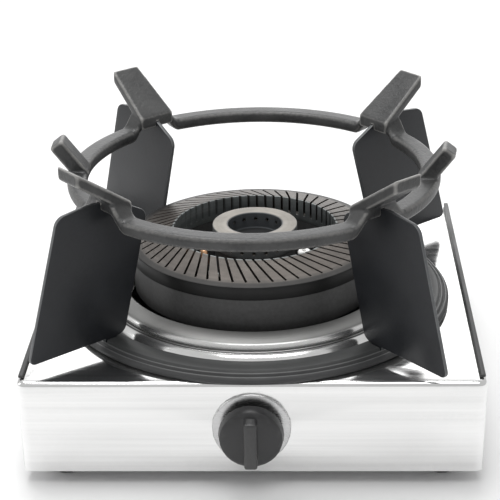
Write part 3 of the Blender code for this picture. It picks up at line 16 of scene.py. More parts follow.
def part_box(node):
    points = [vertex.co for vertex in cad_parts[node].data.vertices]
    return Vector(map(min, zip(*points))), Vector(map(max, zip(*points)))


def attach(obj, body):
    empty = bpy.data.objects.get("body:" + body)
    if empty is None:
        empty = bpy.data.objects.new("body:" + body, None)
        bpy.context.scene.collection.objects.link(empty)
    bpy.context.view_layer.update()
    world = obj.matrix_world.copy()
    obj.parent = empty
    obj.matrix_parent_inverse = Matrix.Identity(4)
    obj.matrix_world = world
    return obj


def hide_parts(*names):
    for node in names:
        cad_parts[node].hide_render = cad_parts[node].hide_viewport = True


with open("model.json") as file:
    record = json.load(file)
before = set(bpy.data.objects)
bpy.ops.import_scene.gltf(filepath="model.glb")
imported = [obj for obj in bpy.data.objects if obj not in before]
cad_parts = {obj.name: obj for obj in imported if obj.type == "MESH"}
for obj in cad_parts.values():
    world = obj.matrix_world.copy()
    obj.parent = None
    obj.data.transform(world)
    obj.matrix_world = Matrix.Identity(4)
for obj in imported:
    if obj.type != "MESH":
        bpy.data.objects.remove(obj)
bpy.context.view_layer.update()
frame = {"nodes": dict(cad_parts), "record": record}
MM = 0.001

# %% [markdown]
# ## Where things are
#
# Everything round shares the burner's axis, which is the middle of the outer crown. Heights are
# counted from the top of the hob, so the hob's box gives the zero. Reading both from the frame keeps
# this script right if the CAD model is moved or its hob is made taller.

# %% Find the burner's axis and the top of the hob
crown_low, crown_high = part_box("outer_crown")
hob_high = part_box("top_shell")[1]
AXIS = Vector(((crown_low.x + crown_high.x) / 2, (crown_low.y + crown_high.y) / 2, hob_high.z))
print("burner axis at", [round(v, 4) for v in AXIS])

# The pan support sits a few degrees round from the hob's diagonals.
STAND_TURN = math.radians(-4.0)
WING_ANGLES = {
    "front_right": math.radians(-45.0),
    "back_right": math.radians(45.0),
    "back_left": math.radians(135.0),
    "front_left": math.radians(225.0),
}

# %% [markdown]
# ## Tools for turned and cut pieces
#
# Most of this object is round, so most pieces start as a half-section that is spun about the axis,
# as on a lathe. A spin that comes all the way round merges its ends, and then every sharp circle gets
# a small rounded edge, because real castings and pressings have no perfectly sharp edges and a
# rounded edge is what catches the light.

# %% A section becomes a turned shape
def section(points):
    """A new bmesh with one closed outline in the XZ plane, points as (radius, height) in millimetres."""
    shape = bmesh.new()
    corners = [shape.verts.new((radius * MM, 0.0, height * MM)) for radius, height in points]
    shape.faces.new(corners)
    return shape


def spun(points, steps, edge=0.0, segments=2, corner_angle=28.0):
    """Spins a section about Z, closes it, and rounds the circles that turn by more than corner_angle."""
    shape = section(points)
    bmesh.ops.delete(shape, geom=list(shape.faces), context="FACES_ONLY")
    bmesh.ops.spin(
        shape,
        geom=shape.verts[:] + shape.edges[:],
        cent=(0.0, 0.0, 0.0),
        axis=(0.0, 0.0, 1.0),
        angle=2.0 * math.pi,
        steps=steps,
        use_merge=True,
    )
    bmesh.ops.remove_doubles(shape, verts=shape.verts, dist=1e-6)
    bmesh.ops.recalc_face_normals(shape, faces=shape.faces)
    if edge > 0.0:
        rounded_edges(shape, edge, segments, corner_angle)
    return shape


# %% [markdown]
# The rounding is a bevel on the edges whose two faces meet at more than a given angle. A profile of
# 0.5 makes it a true quarter round.

# %% Round the sharp edges of a shape
def rounded_edges(shape, width, segments=2, corner_angle=28.0):
    limit = math.radians(corner_angle)
    sharp = [e for e in shape.edges if len(e.link_faces) == 2 and e.calc_face_angle(0.0) > limit]
    bmesh.ops.bevel(
        shape,
        geom=sharp,
        offset=width * MM,
        offset_type="OFFSET",
        segments=segments,
        profile=0.5,
        affect="EDGES",
        clamp_overlap=True,
        material=-1,
    )
    return shape


# %% [markdown]
# A finished piece is stored with its place in its mesh and its object at the origin, so that
# patterns that read Object coordinates stay put. The same helper hides the CAD nodes it stands for
# and hangs the piece on the body it rides on.

# %% Turn a bmesh into a finished piece
def finished(shape, name, body, nodes, place=None, sharp_angle=32.0):
    if place is not None:
        shape.transform(place)
    mesh = bpy.data.meshes.new(name)
    shape.to_mesh(mesh)
    shape.free()
    piece = bpy.data.objects.new(name, mesh)
    bpy.context.scene.collection.objects.link(piece)
    mesh.shade_smooth()
    mesh.set_sharp_from_angle(angle=math.radians(sharp_angle))
    if nodes:
        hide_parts(*nodes)
        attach(piece, body)
    print(name, len(mesh.vertices), "vertices")
    return piece


ON_AXIS = Matrix.Translation(AXIS)
ON_STAND = ON_AXIS @ Matrix.Rotation(STAND_TURN, 4, "Z")

# %% [markdown]
# Slots and holes are cut with a Boolean, the way a drill or a slitting saw would. The cutter is made
# as one mesh for a whole row of holes, the modifier's result is written back into the piece, and the
# cutter is thrown away.

# %% Cut one shape out of another
def settle(piece, sharp_angle=32.0):
    """Writes the result of a piece's modifiers into its mesh."""
    graph = bpy.context.evaluated_depsgraph_get()
    result = bpy.data.meshes.new_from_object(piece.evaluated_get(graph))
    piece.modifiers.clear()
    old = piece.data
    piece.data = result
    result.name = piece.name
    bpy.data.meshes.remove(old)
    result.shade_smooth()
    result.set_sharp_from_angle(angle=math.radians(sharp_angle))
    return piece


def cut(piece, cutter_shape, operation="DIFFERENCE", sharp_angle=32.0):
    cutter_mesh = bpy.data.meshes.new("cutter")
    cutter_shape.to_mesh(cutter_mesh)
    cutter_shape.free()
    cutter = bpy.data.objects.new("cutter", cutter_mesh)
    bpy.context.scene.collection.objects.link(cutter)
    boolean = piece.modifiers.new("cut", "BOOLEAN")
    boolean.operation = operation
    boolean.solver = "EXACT"
    boolean.object = cutter
    settle(piece, sharp_angle)
    bpy.data.objects.remove(cutter)
    bpy.data.meshes.remove(cutter_mesh)
    return piece


# %% [markdown]
# A block is a cube that is sized and placed in one matrix. Bars, slots and windows are all blocks.

# %% Add a block to a shape
def add_block(shape, low, high, place):
    low, high = Vector(low) * MM, Vector(high) * MM
    size = Matrix.Diagonal((*(high - low), 1.0))
    middle = Matrix.Translation((low + high) / 2)
    return bmesh.ops.create_cube(shape, size=1.0, matrix=place @ middle @ size)["verts"]


# %% [markdown]
# ## Finishes
#
# Four effects come back in several finishes, so each is a node group with its own inputs: the grain
# of a sand casting under enamel, the fine lines of brushed sheet, the circles of a turned piece, and
# the wear and painted highlight that brighten edges. Each group only puts out masks, heights and a
# distance. The shader itself stays in the material, so its constants can be read one by one.

# %% Small helpers for node trees
def node(tree, kind, **settings):
    made = tree.nodes.new(kind)
    for key, value in settings.items():
        setattr(made, key, value)
    return made


def feed(tree, source, target):
    tree.links.new(source, target)


def noise(tree, coordinates, scale, detail=4.0, roughness=0.55, scale_source=None):
    made = node(tree, "ShaderNodeTexNoise")
    made.inputs["Detail"].default_value = detail
    made.inputs["Roughness"].default_value = roughness
    made.inputs["Scale"].default_value = scale
    feed(tree, coordinates, made.inputs["Vector"])
    if scale_source is not None:
        feed(tree, scale_source, made.inputs["Scale"])
    return made.outputs["Fac"]


def ranged(tree, value, low, high, to_low=0.0, to_high=1.0):
    made = node(tree, "ShaderNodeMapRange", clamp=True)
    made.inputs["From Min"].default_value = low
    made.inputs["From Max"].default_value = high
    made.inputs["To Min"].default_value = to_low
    made.inputs["To Max"].default_value = to_high
    feed(tree, value, made.inputs["Value"])
    return made.outputs["Result"]


def combined(tree, operation, first, second):
    made = node(tree, "ShaderNodeMath", operation=operation)
    for socket, value in zip(made.inputs, (first, second)):
        if isinstance(value, (int, float)):
            socket.default_value = value
        else:
            feed(tree, value, socket)
    return made.outputs[0]


def blended(tree, mask, first, second):
    """Mixes two colours by a mask. Each is an RGB tuple or a socket."""
    made = node(tree, "ShaderNodeMix", data_type="RGBA")
    feed(tree, mask, made.inputs["Factor"])
    for socket, value in ((made.inputs[6], first), (made.inputs[7], second)):
        if isinstance(value, tuple):
            socket.default_value = (*value, 1.0)
        else:
            feed(tree, value, socket)
    return made.outputs[2]


def new_group(name, inputs, outputs):
    """An empty node group with float inputs {name: default} and float outputs [name]."""
    tree = bpy.data.node_groups.new(name, "ShaderNodeTree")
    for label, default in inputs.items():
        socket = tree.interface.new_socket(label, in_out="INPUT", socket_type="NodeSocketFloat")
        socket.default_value = default
    for label in outputs:
        tree.interface.new_socket(label, in_out="OUTPUT", socket_type="NodeSocketFloat")
    return tree, node(tree, "NodeGroupInput"), node(tree, "NodeGroupOutput")


# %% [markdown]
# ### Cast grain
#
# Sand leaves a grain a fraction of a millimetre across, and the enamel over it pools into a slow
# orange-peel wave. Two noises at those two sizes, added, give both.

# %% Group: cast grain
def make_cast_grain():
    inputs = {"Grain per metre": 1400.0, "Peel": 0.4}
    tree, start, end = new_group("cast grain", inputs, ["Height", "Patches"])
    place = node(tree, "ShaderNodeTexCoord").outputs["Object"]
    grain = noise(tree, place, 1400.0, 3.0, 0.6, start.outputs["Grain per metre"])
    peel = noise(tree, place, 260.0, 2.0)
    wave = combined(tree, "MULTIPLY", peel, start.outputs["Peel"])
    feed(tree, combined(tree, "ADD", grain, wave), end.inputs["Height"])
    feed(tree, ranged(tree, noise(tree, place, 34.0, 5.0), 0.35, 0.68), end.inputs["Patches"])
    return tree


CAST_GRAIN = make_cast_grain()
print("made group", CAST_GRAIN.name)

# %% [markdown]
# ### Brushed lines
#
# Sheet steel is finished with an abrasive belt, which draws long fine scratches one way. A noise that
# is squeezed along X and stretched across it gives lines that run along X, and a second, wider one
# breaks them into bands.

# %% Group: brushed lines
def make_brushed_lines():
    tree, start, end = new_group("brushed lines", {"Lines per metre": 2600.0}, ["Height", "Bands"])
    place = node(tree, "ShaderNodeTexCoord").outputs["Object"]
    stretch = node(tree, "ShaderNodeVectorMath", operation="MULTIPLY")
    stretch.inputs[1].default_value = (0.012, 1.0, 1.0)
    feed(tree, place, stretch.inputs[0])
    lines = noise(tree, stretch.outputs["Vector"], 2600.0, 3.0, 0.7, start.outputs["Lines per metre"])
    bands = noise(tree, stretch.outputs["Vector"], 240.0, 2.0, 0.6)
    feed(tree, lines, end.inputs["Height"])
    feed(tree, ranged(tree, bands, 0.3, 0.7), end.inputs["Bands"])
    return tree


BRUSHED_LINES = make_brushed_lines()
print("made group", BRUSHED_LINES.name)

# %% [markdown]
# ### Turned lines
#
# A piece cut on a lathe, or pressed and then polished while it turns, carries fine circles round the
# axis. They depend only on the distance from the axis and on height, so the group works out that
# distance with the axis subtracted and feeds it to a noise as one coordinate. It also puts the
# distance out, in millimetres, because one turned piece often has bands of different finish.

# %% Group: turned lines
def make_turned_lines():
    outputs = ["Height", "Bands", "Radius"]
    tree, start, end = new_group("turned lines", {"Lines per metre": 700.0}, outputs)
    place = node(tree, "ShaderNodeTexCoord").outputs["Object"]
    centred = node(tree, "ShaderNodeVectorMath", operation="SUBTRACT")
    centred.inputs[1].default_value = AXIS
    feed(tree, place, centred.inputs[0])
    parts = node(tree, "ShaderNodeSeparateXYZ")
    feed(tree, centred.outputs["Vector"], parts.inputs[0])
    flat = node(tree, "ShaderNodeCombineXYZ")
    feed(tree, parts.outputs["X"], flat.inputs["X"])
    feed(tree, parts.outputs["Y"], flat.inputs["Y"])
    distance = node(tree, "ShaderNodeVectorMath", operation="LENGTH")
    feed(tree, flat.outputs["Vector"], distance.inputs[0])
    rings = node(tree, "ShaderNodeCombineXYZ")
    feed(tree, distance.outputs["Value"], rings.inputs["X"])
    feed(tree, parts.outputs["Z"], rings.inputs["Y"])
    lines = noise(tree, rings.outputs["Vector"], 700.0, 1.0, 0.5, start.outputs["Lines per metre"])
    bands = noise(tree, rings.outputs["Vector"], 260.0, 2.0)
    feed(tree, lines, end.inputs["Height"])
    feed(tree, ranged(tree, bands, 0.3, 0.7), end.inputs["Bands"])
    feed(tree, combined(tree, "MULTIPLY", distance.outputs["Value"], 1.0 / MM), end.inputs["Radius"])
    return tree


TURNED_LINES = make_turned_lines()
print("made group", TURNED_LINES.name)

# %% [markdown]
# ### Worn edges and painted edge highlight
#
# Pans and cloths rub the high edges first, and the same lighter edge is also a painted highlight
# where light catches the rounded edges. The mesh's pointiness is high on outward edges, and a noise
# breaks the line up so that the wear and highlight aren't an even stripe.

# %% Group: edge wear and painted highlight
def make_edge_wear_and_highlight():
    tree, start, end = new_group("edge wear and painted highlight", {"From": 0.52, "To": 0.60, "Breakup": 0.35}, ["Mask"])
    point = node(tree, "ShaderNodeNewGeometry").outputs["Pointiness"]
    place = node(tree, "ShaderNodeTexCoord").outputs["Object"]
    broken = combined(tree, "MULTIPLY", noise(tree, place, 420.0, 4.0), start.outputs["Breakup"])
    edge = node(tree, "ShaderNodeMapRange", clamp=True)
    feed(tree, point, edge.inputs["Value"])
    feed(tree, start.outputs["From"], edge.inputs["From Min"])
    feed(tree, start.outputs["To"], edge.inputs["From Max"])
    left = combined(tree, "SUBTRACT", edge.outputs["Result"], broken)
    feed(tree, ranged(tree, left, 0.0, 0.65), end.inputs["Mask"])
    return tree


EDGE_WEAR_AND_HIGHLIGHT = make_edge_wear_and_highlight()
print("made group", EDGE_WEAR_AND_HIGHLIGHT.name)

# %% [markdown]
# ### A finish from its parts
#
# Each finish is a Principled shader with a base colour that drifts between two tones in patches, more
# of the second tone on the raised grain, a third tone where edges are worn and where a painted
# highlight lights them, a roughness that moves with the patches, and a bump from one of the groups.
# The numbers that stay the same all over are set straight on the shader.

# %% Build a finish
SPECK_RANGE = (0.45, 0.90)
SPECK_SHARE = 0.45
USUAL_WEAR_AND_HIGHLIGHT = (0.52, 0.60)
print("wear starts at a pointiness of", USUAL_WEAR_AND_HIGHLIGHT[0])


def finish(
    name, tones, wear_and_highlight_tone, roughness, metallic, group, rate, bump, wear_and_highlight_range=USUAL_WEAR_AND_HIGHLIGHT, **constants
):
    """tones: two RGB tones. the edge tone: RGB on edges, for wear and a painted highlight. roughness:
    (smooth, rough). bump: height in millimetres.
    """
    made = bpy.data.materials.new(name)
    made.use_nodes = True
    tree = made.node_tree
    shader = tree.nodes["Principled BSDF"]
    pattern = node(tree, "ShaderNodeGroup", node_tree=group)
    pattern.inputs[0].default_value = rate
    patches = pattern.outputs[1]
    wear_and_highlight = node(tree, "ShaderNodeGroup", node_tree=EDGE_WEAR_AND_HIGHLIGHT)
    wear_and_highlight.inputs["From"].default_value, wear_and_highlight.inputs["To"].default_value = wear_and_highlight_range
    colour = blended(tree, patches, tones[0], tones[1])
    speck = ranged(tree, pattern.outputs[0], *SPECK_RANGE)
    colour = blended(tree, combined(tree, "MULTIPLY", speck, SPECK_SHARE), colour, tones[1])
    colour = blended(tree, wear_and_highlight.outputs["Mask"], colour, wear_and_highlight_tone)
    feed(tree, colour, shader.inputs["Base Color"])
    rough = ranged(tree, patches, 0.0, 1.0, roughness[0], roughness[1])
    feed(tree, rough, shader.inputs["Roughness"])
    shader.inputs["Metallic"].default_value = metallic
    relief = node(tree, "ShaderNodeBump")
    relief.inputs["Strength"].default_value = 1.0
    relief.inputs["Distance"].default_value = bump * MM
    feed(tree, pattern.outputs[0], relief.inputs["Height"])
    feed(tree, relief.outputs["Normal"], shader.inputs["Normal"])
    for label, value in constants.items():
        shader.inputs[label.replace("_", " ")].default_value = value
    return made


# %% [markdown]
# ### A turned finish in bands
#
# A turned piece is machined bright in one place, left black from the furnace in another, and polished
# in a third; here the bands also hold painted highlights and painted shade. The bands follow the
# distance from the axis, so two colour ramps read that distance: one gives the tone, and the other the
# roughness. Each band fades into the next over a short stretch, as a polishing wheel leaves it. Soot
# and handling then darken the tone in slow patches. The mask of edge wear and painted highlight isn't
# used here, because it came out as a light spot on the crown's side.

# %% Build a banded finish
BAND_REACH = 130.0
BAND_FADE = 0.5
SOOT = (0.012, 0.012, 0.012)
SOOT_PATCHES_PER_METRE = 46.0
SOOT_RANGE = (0.42, 0.74)
SOOT_IN_LINES = 0.6
LINES_ROUGHER = 0.08
print("bands are placed up to", BAND_REACH, "mm from the axis")


def banded(name, bands, metallic, bump, soot, **constants):
    """bands: rows of (radius in millimetres where it starts, RGB tone, roughness), inside to outside."""
    made = bpy.data.materials.new(name)
    made.use_nodes = True
    tree = made.node_tree
    shader = tree.nodes["Principled BSDF"]
    pattern = node(tree, "ShaderNodeGroup", node_tree=TURNED_LINES)
    along = ranged(tree, pattern.outputs["Radius"], 0.0, BAND_REACH)
    tone = node(tree, "ShaderNodeValToRGB")
    rough = node(tree, "ShaderNodeValToRGB")
    for ramp, column in ((tone.color_ramp, 1), (rough.color_ramp, 2)):
        ramp.elements.remove(ramp.elements[1])
        for index, band in enumerate(bands):
            value = band[column] if column == 1 else (band[column],) * 3
            stops = [band[0] + BAND_FADE]
            if index + 1 < len(bands):
                stops.append(bands[index + 1][0])
            for stop in stops:
                first = index == 0 and stop == stops[0]
                element = ramp.elements[0] if first else ramp.elements.new(stop / BAND_REACH)
                element.position = stop / BAND_REACH
                element.color = (*value, 1.0)
    feed(tree, along, tone.inputs["Fac"])
    feed(tree, along, rough.inputs["Fac"])
    place = node(tree, "ShaderNodeTexCoord").outputs["Object"]
    slow = noise(tree, place, SOOT_PATCHES_PER_METRE, 5.0, 0.62)
    patches = ranged(tree, slow, *SOOT_RANGE, 0.0, soot)
    colour = blended(tree, patches, tone.outputs["Color"], SOOT)
    fine = combined(tree, "MULTIPLY", pattern.outputs["Bands"], soot * SOOT_IN_LINES)
    colour = blended(tree, fine, colour, SOOT)
    feed(tree, colour, shader.inputs["Base Color"])
    uneven = combined(tree, "MULTIPLY", pattern.outputs["Bands"], LINES_ROUGHER)
    feed(tree, combined(tree, "ADD", rough.outputs["Color"], uneven), shader.inputs["Roughness"])
    shader.inputs["Metallic"].default_value = metallic
    relief = node(tree, "ShaderNodeBump")
    relief.inputs["Strength"].default_value = 1.0
    relief.inputs["Distance"].default_value = bump * MM
    feed(tree, pattern.outputs["Height"], relief.inputs["Height"])
    feed(tree, relief.outputs["Normal"], shader.inputs["Normal"])
    for label, value in constants.items():
        shader.inputs[label.replace("_", " ")].default_value = value
    return made


# %% [markdown]
# The finishes themselves. The pan support and its wings are charcoal enamel with a slight blue cast.
# The crown is a warm grey on its machined top, a cooler and lighter grey inside, and dark on its rim;
# its side is painted darker still as painted shade. The surround is a pressing with a matt collar, a
# painted highlight on its rounded shoulder, painted shade in its groove and a polished cone. The hob
# is bright sheet, brushed one way.

# %% The finishes
FINISHES = {
    # The light edges of this enamel are worn enamel and also a painted highlight along the rounded edges.
    "cast_enamel": finish(
        "charcoal enamel on casting",
        ((0.014, 0.0145, 0.0155), (0.055, 0.0555, 0.055)),
        (0.26, 0.255, 0.245),
        (0.32, 0.48),
        0.0,
        CAST_GRAIN,
        460.0,
        0.28,
        wear_and_highlight_range=(0.505, 0.550),
        Specular_IOR_Level=0.5,
    ),
    "enamel_sheet": finish(
        "blue black enamel on sheet",
        ((0.0095, 0.0105, 0.0125), (0.0170, 0.0185, 0.0215)),
        (0.16, 0.165, 0.17),
        (0.34, 0.44),
        0.0,
        CAST_GRAIN,
        480.0,
        0.05,
        wear_and_highlight_range=(0.60, 0.80),
        Specular_IOR_Level=0.4,
    ),
    "dark_casting": finish(
        "bare dark casting",
        ((0.0070, 0.0070, 0.0072), (0.0150, 0.0148, 0.0145)),
        (0.08, 0.08, 0.08),
        (0.38, 0.52),
        0.0,
        CAST_GRAIN,
        600.0,
        0.05,
        Specular_IOR_Level=0.35,
    ),
    "fired_crown": banded(
        "heat stained crown metal, painted shade on its side",
        (
            (52.0, (0.280, 0.300, 0.300), 0.44),
            (54.2, (0.135, 0.120, 0.108), 0.38),
            (74.5, (0.115, 0.104, 0.095), 0.40),
            (77.0, (0.050, 0.048, 0.046), 0.42),
            # Painted shade: the crown's outer edge and side are painted near black.
            (81.0, (0.024, 0.024, 0.024), 0.38),
        ),
        0.8,
        0.006,
        0.45,
    ),
    "fired_cap_painted_well_shade": banded(
        "heat stained cap metal, painted shade in its well",
        (
            # Painted shade: the floor of the cap's deep well is painted near black.
            (0.0, (0.012, 0.013, 0.014), 0.50),
            (16.0, (0.075, 0.082, 0.088), 0.42),
            (18.2, (0.33, 0.305, 0.270), 0.38),
            (27.3, (0.120, 0.132, 0.142), 0.42),
        ),
        0.35,
        0.004,
        0.35,
    ),
    "cast_ring_painted_ridge_highlights": banded(
        "charcoal enamel on turned ring, painted ridge highlights",
        (
            (108.0, (0.046, 0.048, 0.048), 0.42),
            # Painted highlights: the two lighter bands lie on the two raised lines.
            (122.3, (0.130, 0.133, 0.132), 0.38),
            (123.4, (0.042, 0.043, 0.044), 0.44),
            (125.0, (0.130, 0.133, 0.132), 0.38),
            (126.0, (0.042, 0.043, 0.044), 0.44),
        ),
        0.0,
        0.012,
        0.35,
        Specular_IOR_Level=0.5,
    ),
    # Partly thin enamel, partly a painted highlight: the lighter tone draws the light line round each wing.
    "enamel_rim_and_painted_highlight": finish(
        "thin enamel and painted highlight on the wing rims",
        ((0.045, 0.048, 0.052), (0.110, 0.115, 0.118)),
        (0.20, 0.205, 0.21),
        (0.28, 0.42),
        0.0,
        CAST_GRAIN,
        700.0,
        0.03,
        Specular_IOR_Level=0.6,
    ),
    "stainless": finish(
        "brushed stainless sheet",
        ((0.74, 0.74, 0.735), (0.86, 0.86, 0.855)),
        (0.88, 0.88, 0.88),
        (0.10, 0.17),
        1.0,
        BRUSHED_LINES,
        2600.0,
        0.003,
        Anisotropic=0.3,
    ),
    "stainless_turned_painted_highlight_and_shade": banded(
        "turned stainless pressing, painted highlight and shade",
        (
            (84.0, (0.30, 0.30, 0.295), 0.40),
            (86.6, (0.225, 0.225, 0.22), 0.44),
            # Painted highlight on the rounded shoulder, then painted shade in the groove.
            (98.4, (0.86, 0.86, 0.85), 0.18),
            (99.9, (0.040, 0.040, 0.040), 0.40),
            (101.0, (0.90, 0.90, 0.89), 0.13),
        ),
        1.0,
        0.003,
        0.10,
    ),
    "dark_trim": finish(
        "matt black trim",
        ((0.020, 0.020, 0.021), (0.032, 0.032, 0.033)),
        (0.08, 0.08, 0.08),
        (0.42, 0.55),
        0.0,
        CAST_GRAIN,
        2200.0,
        0.02,
    ),
    "galvanised": finish(
        "zinc coated sheet",
        ((0.42, 0.43, 0.44), (0.58, 0.59, 0.60)),
        (0.66, 0.66, 0.66),
        (0.35, 0.55),
        0.9,
        CAST_GRAIN,
        300.0,
        0.01,
    ),
    "alloy": finish(
        "die cast alloy",
        ((0.44, 0.44, 0.45), (0.58, 0.58, 0.59)),
        (0.70, 0.70, 0.70),
        (0.38, 0.52),
        0.9,
        CAST_GRAIN,
        1300.0,
        0.03,
    ),
    "plain_steel": finish(
        "plain bright steel",
        ((0.50, 0.50, 0.50), (0.64, 0.64, 0.64)),
        (0.75, 0.75, 0.75),
        (0.22, 0.36),
        1.0,
        BRUSHED_LINES,
        3000.0,
        0.006,
    ),
    "brass": finish(
        "machined brass",
        ((0.62, 0.44, 0.19), (0.74, 0.56, 0.28)),
        (0.84, 0.68, 0.38),
        (0.22, 0.36),
        1.0,
        BRUSHED_LINES,
        3200.0,
        0.006,
    ),
    "copper": finish(
        "heat tinted copper",
        ((0.62, 0.24, 0.10), (0.80, 0.38, 0.18)),
        (0.88, 0.52, 0.30),
        (0.26, 0.42),
        1.0,
        CAST_GRAIN,
        1800.0,
        0.01,
    ),
    "ceramic": finish(
        "glazed porcelain",
        ((0.78, 0.77, 0.74), (0.86, 0.85, 0.82)),
        (0.90, 0.89, 0.87),
        (0.18, 0.30),
        0.0,
        CAST_GRAIN,
        700.0,
        0.006,
        Coat_Weight=0.4,
    ),
    "rubber": finish(
        "black rubber",
        ((0.016, 0.016, 0.016), (0.028, 0.028, 0.027)),
        (0.06, 0.06, 0.06),
        (0.66, 0.82),
        0.0,
        CAST_GRAIN,
        1900.0,
        0.04,
    ),
    "black_plastic": finish(
        "heat proof black plastic",
        ((0.018, 0.018, 0.019), (0.026, 0.026, 0.027)),
        (0.07, 0.07, 0.07),
        (0.34, 0.46),
        0.0,
        CAST_GRAIN,
        2400.0,
        0.02,
    ),
    "lead_sleeve": finish(
        "red silicone sleeve",
        ((0.30, 0.035, 0.025), (0.40, 0.060, 0.040)),
        (0.45, 0.10, 0.08),
        (0.45, 0.60),
        0.0,
        CAST_GRAIN,
        1500.0,
        0.02,
    ),
}
print(len(FINISHES), "finishes")


def dressed(piece, finish_name):
    piece.data.materials.clear()
    piece.data.materials.append(FINISHES[finish_name])
    return piece


# %% [markdown]
# ## The pan support
#
# On the real one the ring, its four long prongs and its two horns are one sand casting, so there are
# no seams: every inside corner is a soft fillet. A spin gives the ring, blocks give the prongs and
# horns, and a voxel remesh melts them into one skin. A few rounds of smoothing then turn the corners
# into fillets, which joining with a plain Boolean would leave sharp.
#
# The ring isn't flat. Over each wing it climbs in an S-curve, runs level and comes down again, like a
# small bridge. That is done by raising the spun ring's points by an amount that depends only on their
# angle to the nearest wing.

# %% Sizes of the ring, prongs and horns
RING_OUTER, RING_INNER = 120.0, 107.0
RING_TOP, RING_THICK = 91.3, 8.4
RING_MIDDLE = (RING_OUTER + RING_INNER) / 2
ARCH_RISE, ARCH_FLAT, ARCH_FOOT = 10.0, 9.0, 20.0
PRONG_START_R, PRONG_START_TOP = 104.5, 98.9
PRONG_TIP_R, PRONG_SLOPE = 141.0, math.tan(math.radians(35.2))
PRONG_DROP = 7.0 / math.cos(math.atan(PRONG_SLOPE))
PRONG_WIDTHS = (27.0, 21.0)
HORN_ANGLES = (math.radians(-5.0), math.radians(185.0))
HORN_START, HORN_TIP = Vector((109.0, 87.0)), Vector((126.0, 110.0))
HORN_DEEP, HORN_WIDE = 10.0, 16.0
RING_STEPS = 288
CASTING_VOXEL = 0.85 * MM


# %% Spin the ring and raise its arches
def arch_lift(angle):
    """How far the ring stands above its own level at this angle, in millimetres."""
    nearest = min(abs(math.remainder(angle - wing, 2.0 * math.pi)) for wing in WING_ANGLES.values())
    along = (ARCH_FOOT - RING_MIDDLE * nearest) / (ARCH_FOOT - ARCH_FLAT)
    along = min(max(along, 0.0), 1.0)
    return ARCH_RISE * along * along * (3.0 - 2.0 * along)


def make_ring():
    low, high = RING_TOP - RING_THICK, RING_TOP
    outline = [(RING_OUTER, low), (RING_OUTER, high), (RING_INNER, high), (RING_INNER, low)]
    ring = spun(outline, RING_STEPS, edge=2.6, segments=4, corner_angle=60.0)
    for vertex in ring.verts:
        vertex.co.z += arch_lift(math.atan2(vertex.co.y, vertex.co.x)) * MM
    return ring


# %% [markdown]
# A prong is a block whose two ends differ: the end over the ring is lower and wider than the tip. The
# cube's own points are moved to those ends, and the long edges get a small round.

# %% Shape one prong and one horn
def add_prong(shape, angle):
    prong = bmesh.new()
    for vertex in bmesh.ops.create_cube(prong, size=2.0)["verts"]:
        at_tip = vertex.co.x > 0.0
        radius = PRONG_TIP_R if at_tip else PRONG_START_R
        top = PRONG_START_TOP + (radius - PRONG_START_R) * PRONG_SLOPE
        half = PRONG_WIDTHS[at_tip] / 2
        height = top if vertex.co.z > 0.0 else top - PRONG_DROP
        vertex.co = Vector((radius, half * vertex.co.y, height)) * MM
    rounded_edges(prong, 1.3, 3)
    merge_into(shape, prong, Matrix.Rotation(angle, 4, "Z"))


def add_horn(shape, angle):
    run = (HORN_TIP - HORN_START).normalized()
    tilt = math.atan2(run.y, run.x)
    length = (HORN_TIP - HORN_START).length
    horn = bmesh.new()
    low, high = (0.0, -HORN_WIDE / 2, -HORN_DEEP / 2), (length, HORN_WIDE / 2, HORN_DEEP / 2)
    add_block(horn, low, high, Matrix())
    rounded_edges(horn, 1.5, 3)
    base = Matrix.Translation(Vector((HORN_START.x, 0.0, HORN_START.y)) * MM)
    lean = Matrix.Rotation(-tilt, 4, "Y")
    merge_into(shape, horn, Matrix.Rotation(angle, 4, "Z") @ base @ lean)


def merge_into(shape, extra, place):
    """Adds one bmesh's faces to another as they are, and frees the first."""
    extra.transform(place)
    carrier = bpy.data.meshes.new("carrier")
    extra.to_mesh(carrier)
    extra.free()
    shape.from_mesh(carrier)
    bpy.data.meshes.remove(carrier)


# %% Melt them into one casting and saw the wing slots
WING_THICK = 2.6
SAW_CLEARANCE = 0.35
WING_OUTLINE = (
    (86.0, 84.5),
    (107.5, 7.6),
    (178.0, 7.6),
    (150.5, 96.5),
    (125.0, 99.5),
    (106.0, 95.5),
)


def wing_face(shape, grow=0.0):
    """One wing's outline as a face in the XZ plane, pushed outward by grow millimetres."""
    corners = []
    count = len(WING_OUTLINE)
    for index in range(count):
        here = Vector(WING_OUTLINE[index])
        came = (here - Vector(WING_OUTLINE[index - 1])).normalized()
        goes = (Vector(WING_OUTLINE[(index + 1) % count]) - here).normalized()
        out = (Vector((came.y, -came.x)) + Vector((goes.y, -goes.x))).normalized()
        reach = grow / out.dot(Vector((came.y, -came.x)))
        point = here + out * reach
        corners.append(shape.verts.new((point.x * MM, 0.0, point.y * MM)))
    return shape.faces.new(corners)


def thickened(shape, face, thickness):
    """Extrudes a face in the XZ plane along Y so that its middle stays on the plane."""
    bmesh.ops.translate(shape, verts=face.verts[:], vec=(0.0, -thickness / 2 * MM, 0.0))
    grown = bmesh.ops.extrude_face_region(shape, geom=[face], use_keep_orig=True)
    moved = [item for item in grown["geom"] if isinstance(item, bmesh.types.BMVert)]
    bmesh.ops.translate(shape, verts=moved, vec=(0.0, thickness * MM, 0.0))
    bmesh.ops.recalc_face_normals(shape, faces=shape.faces)


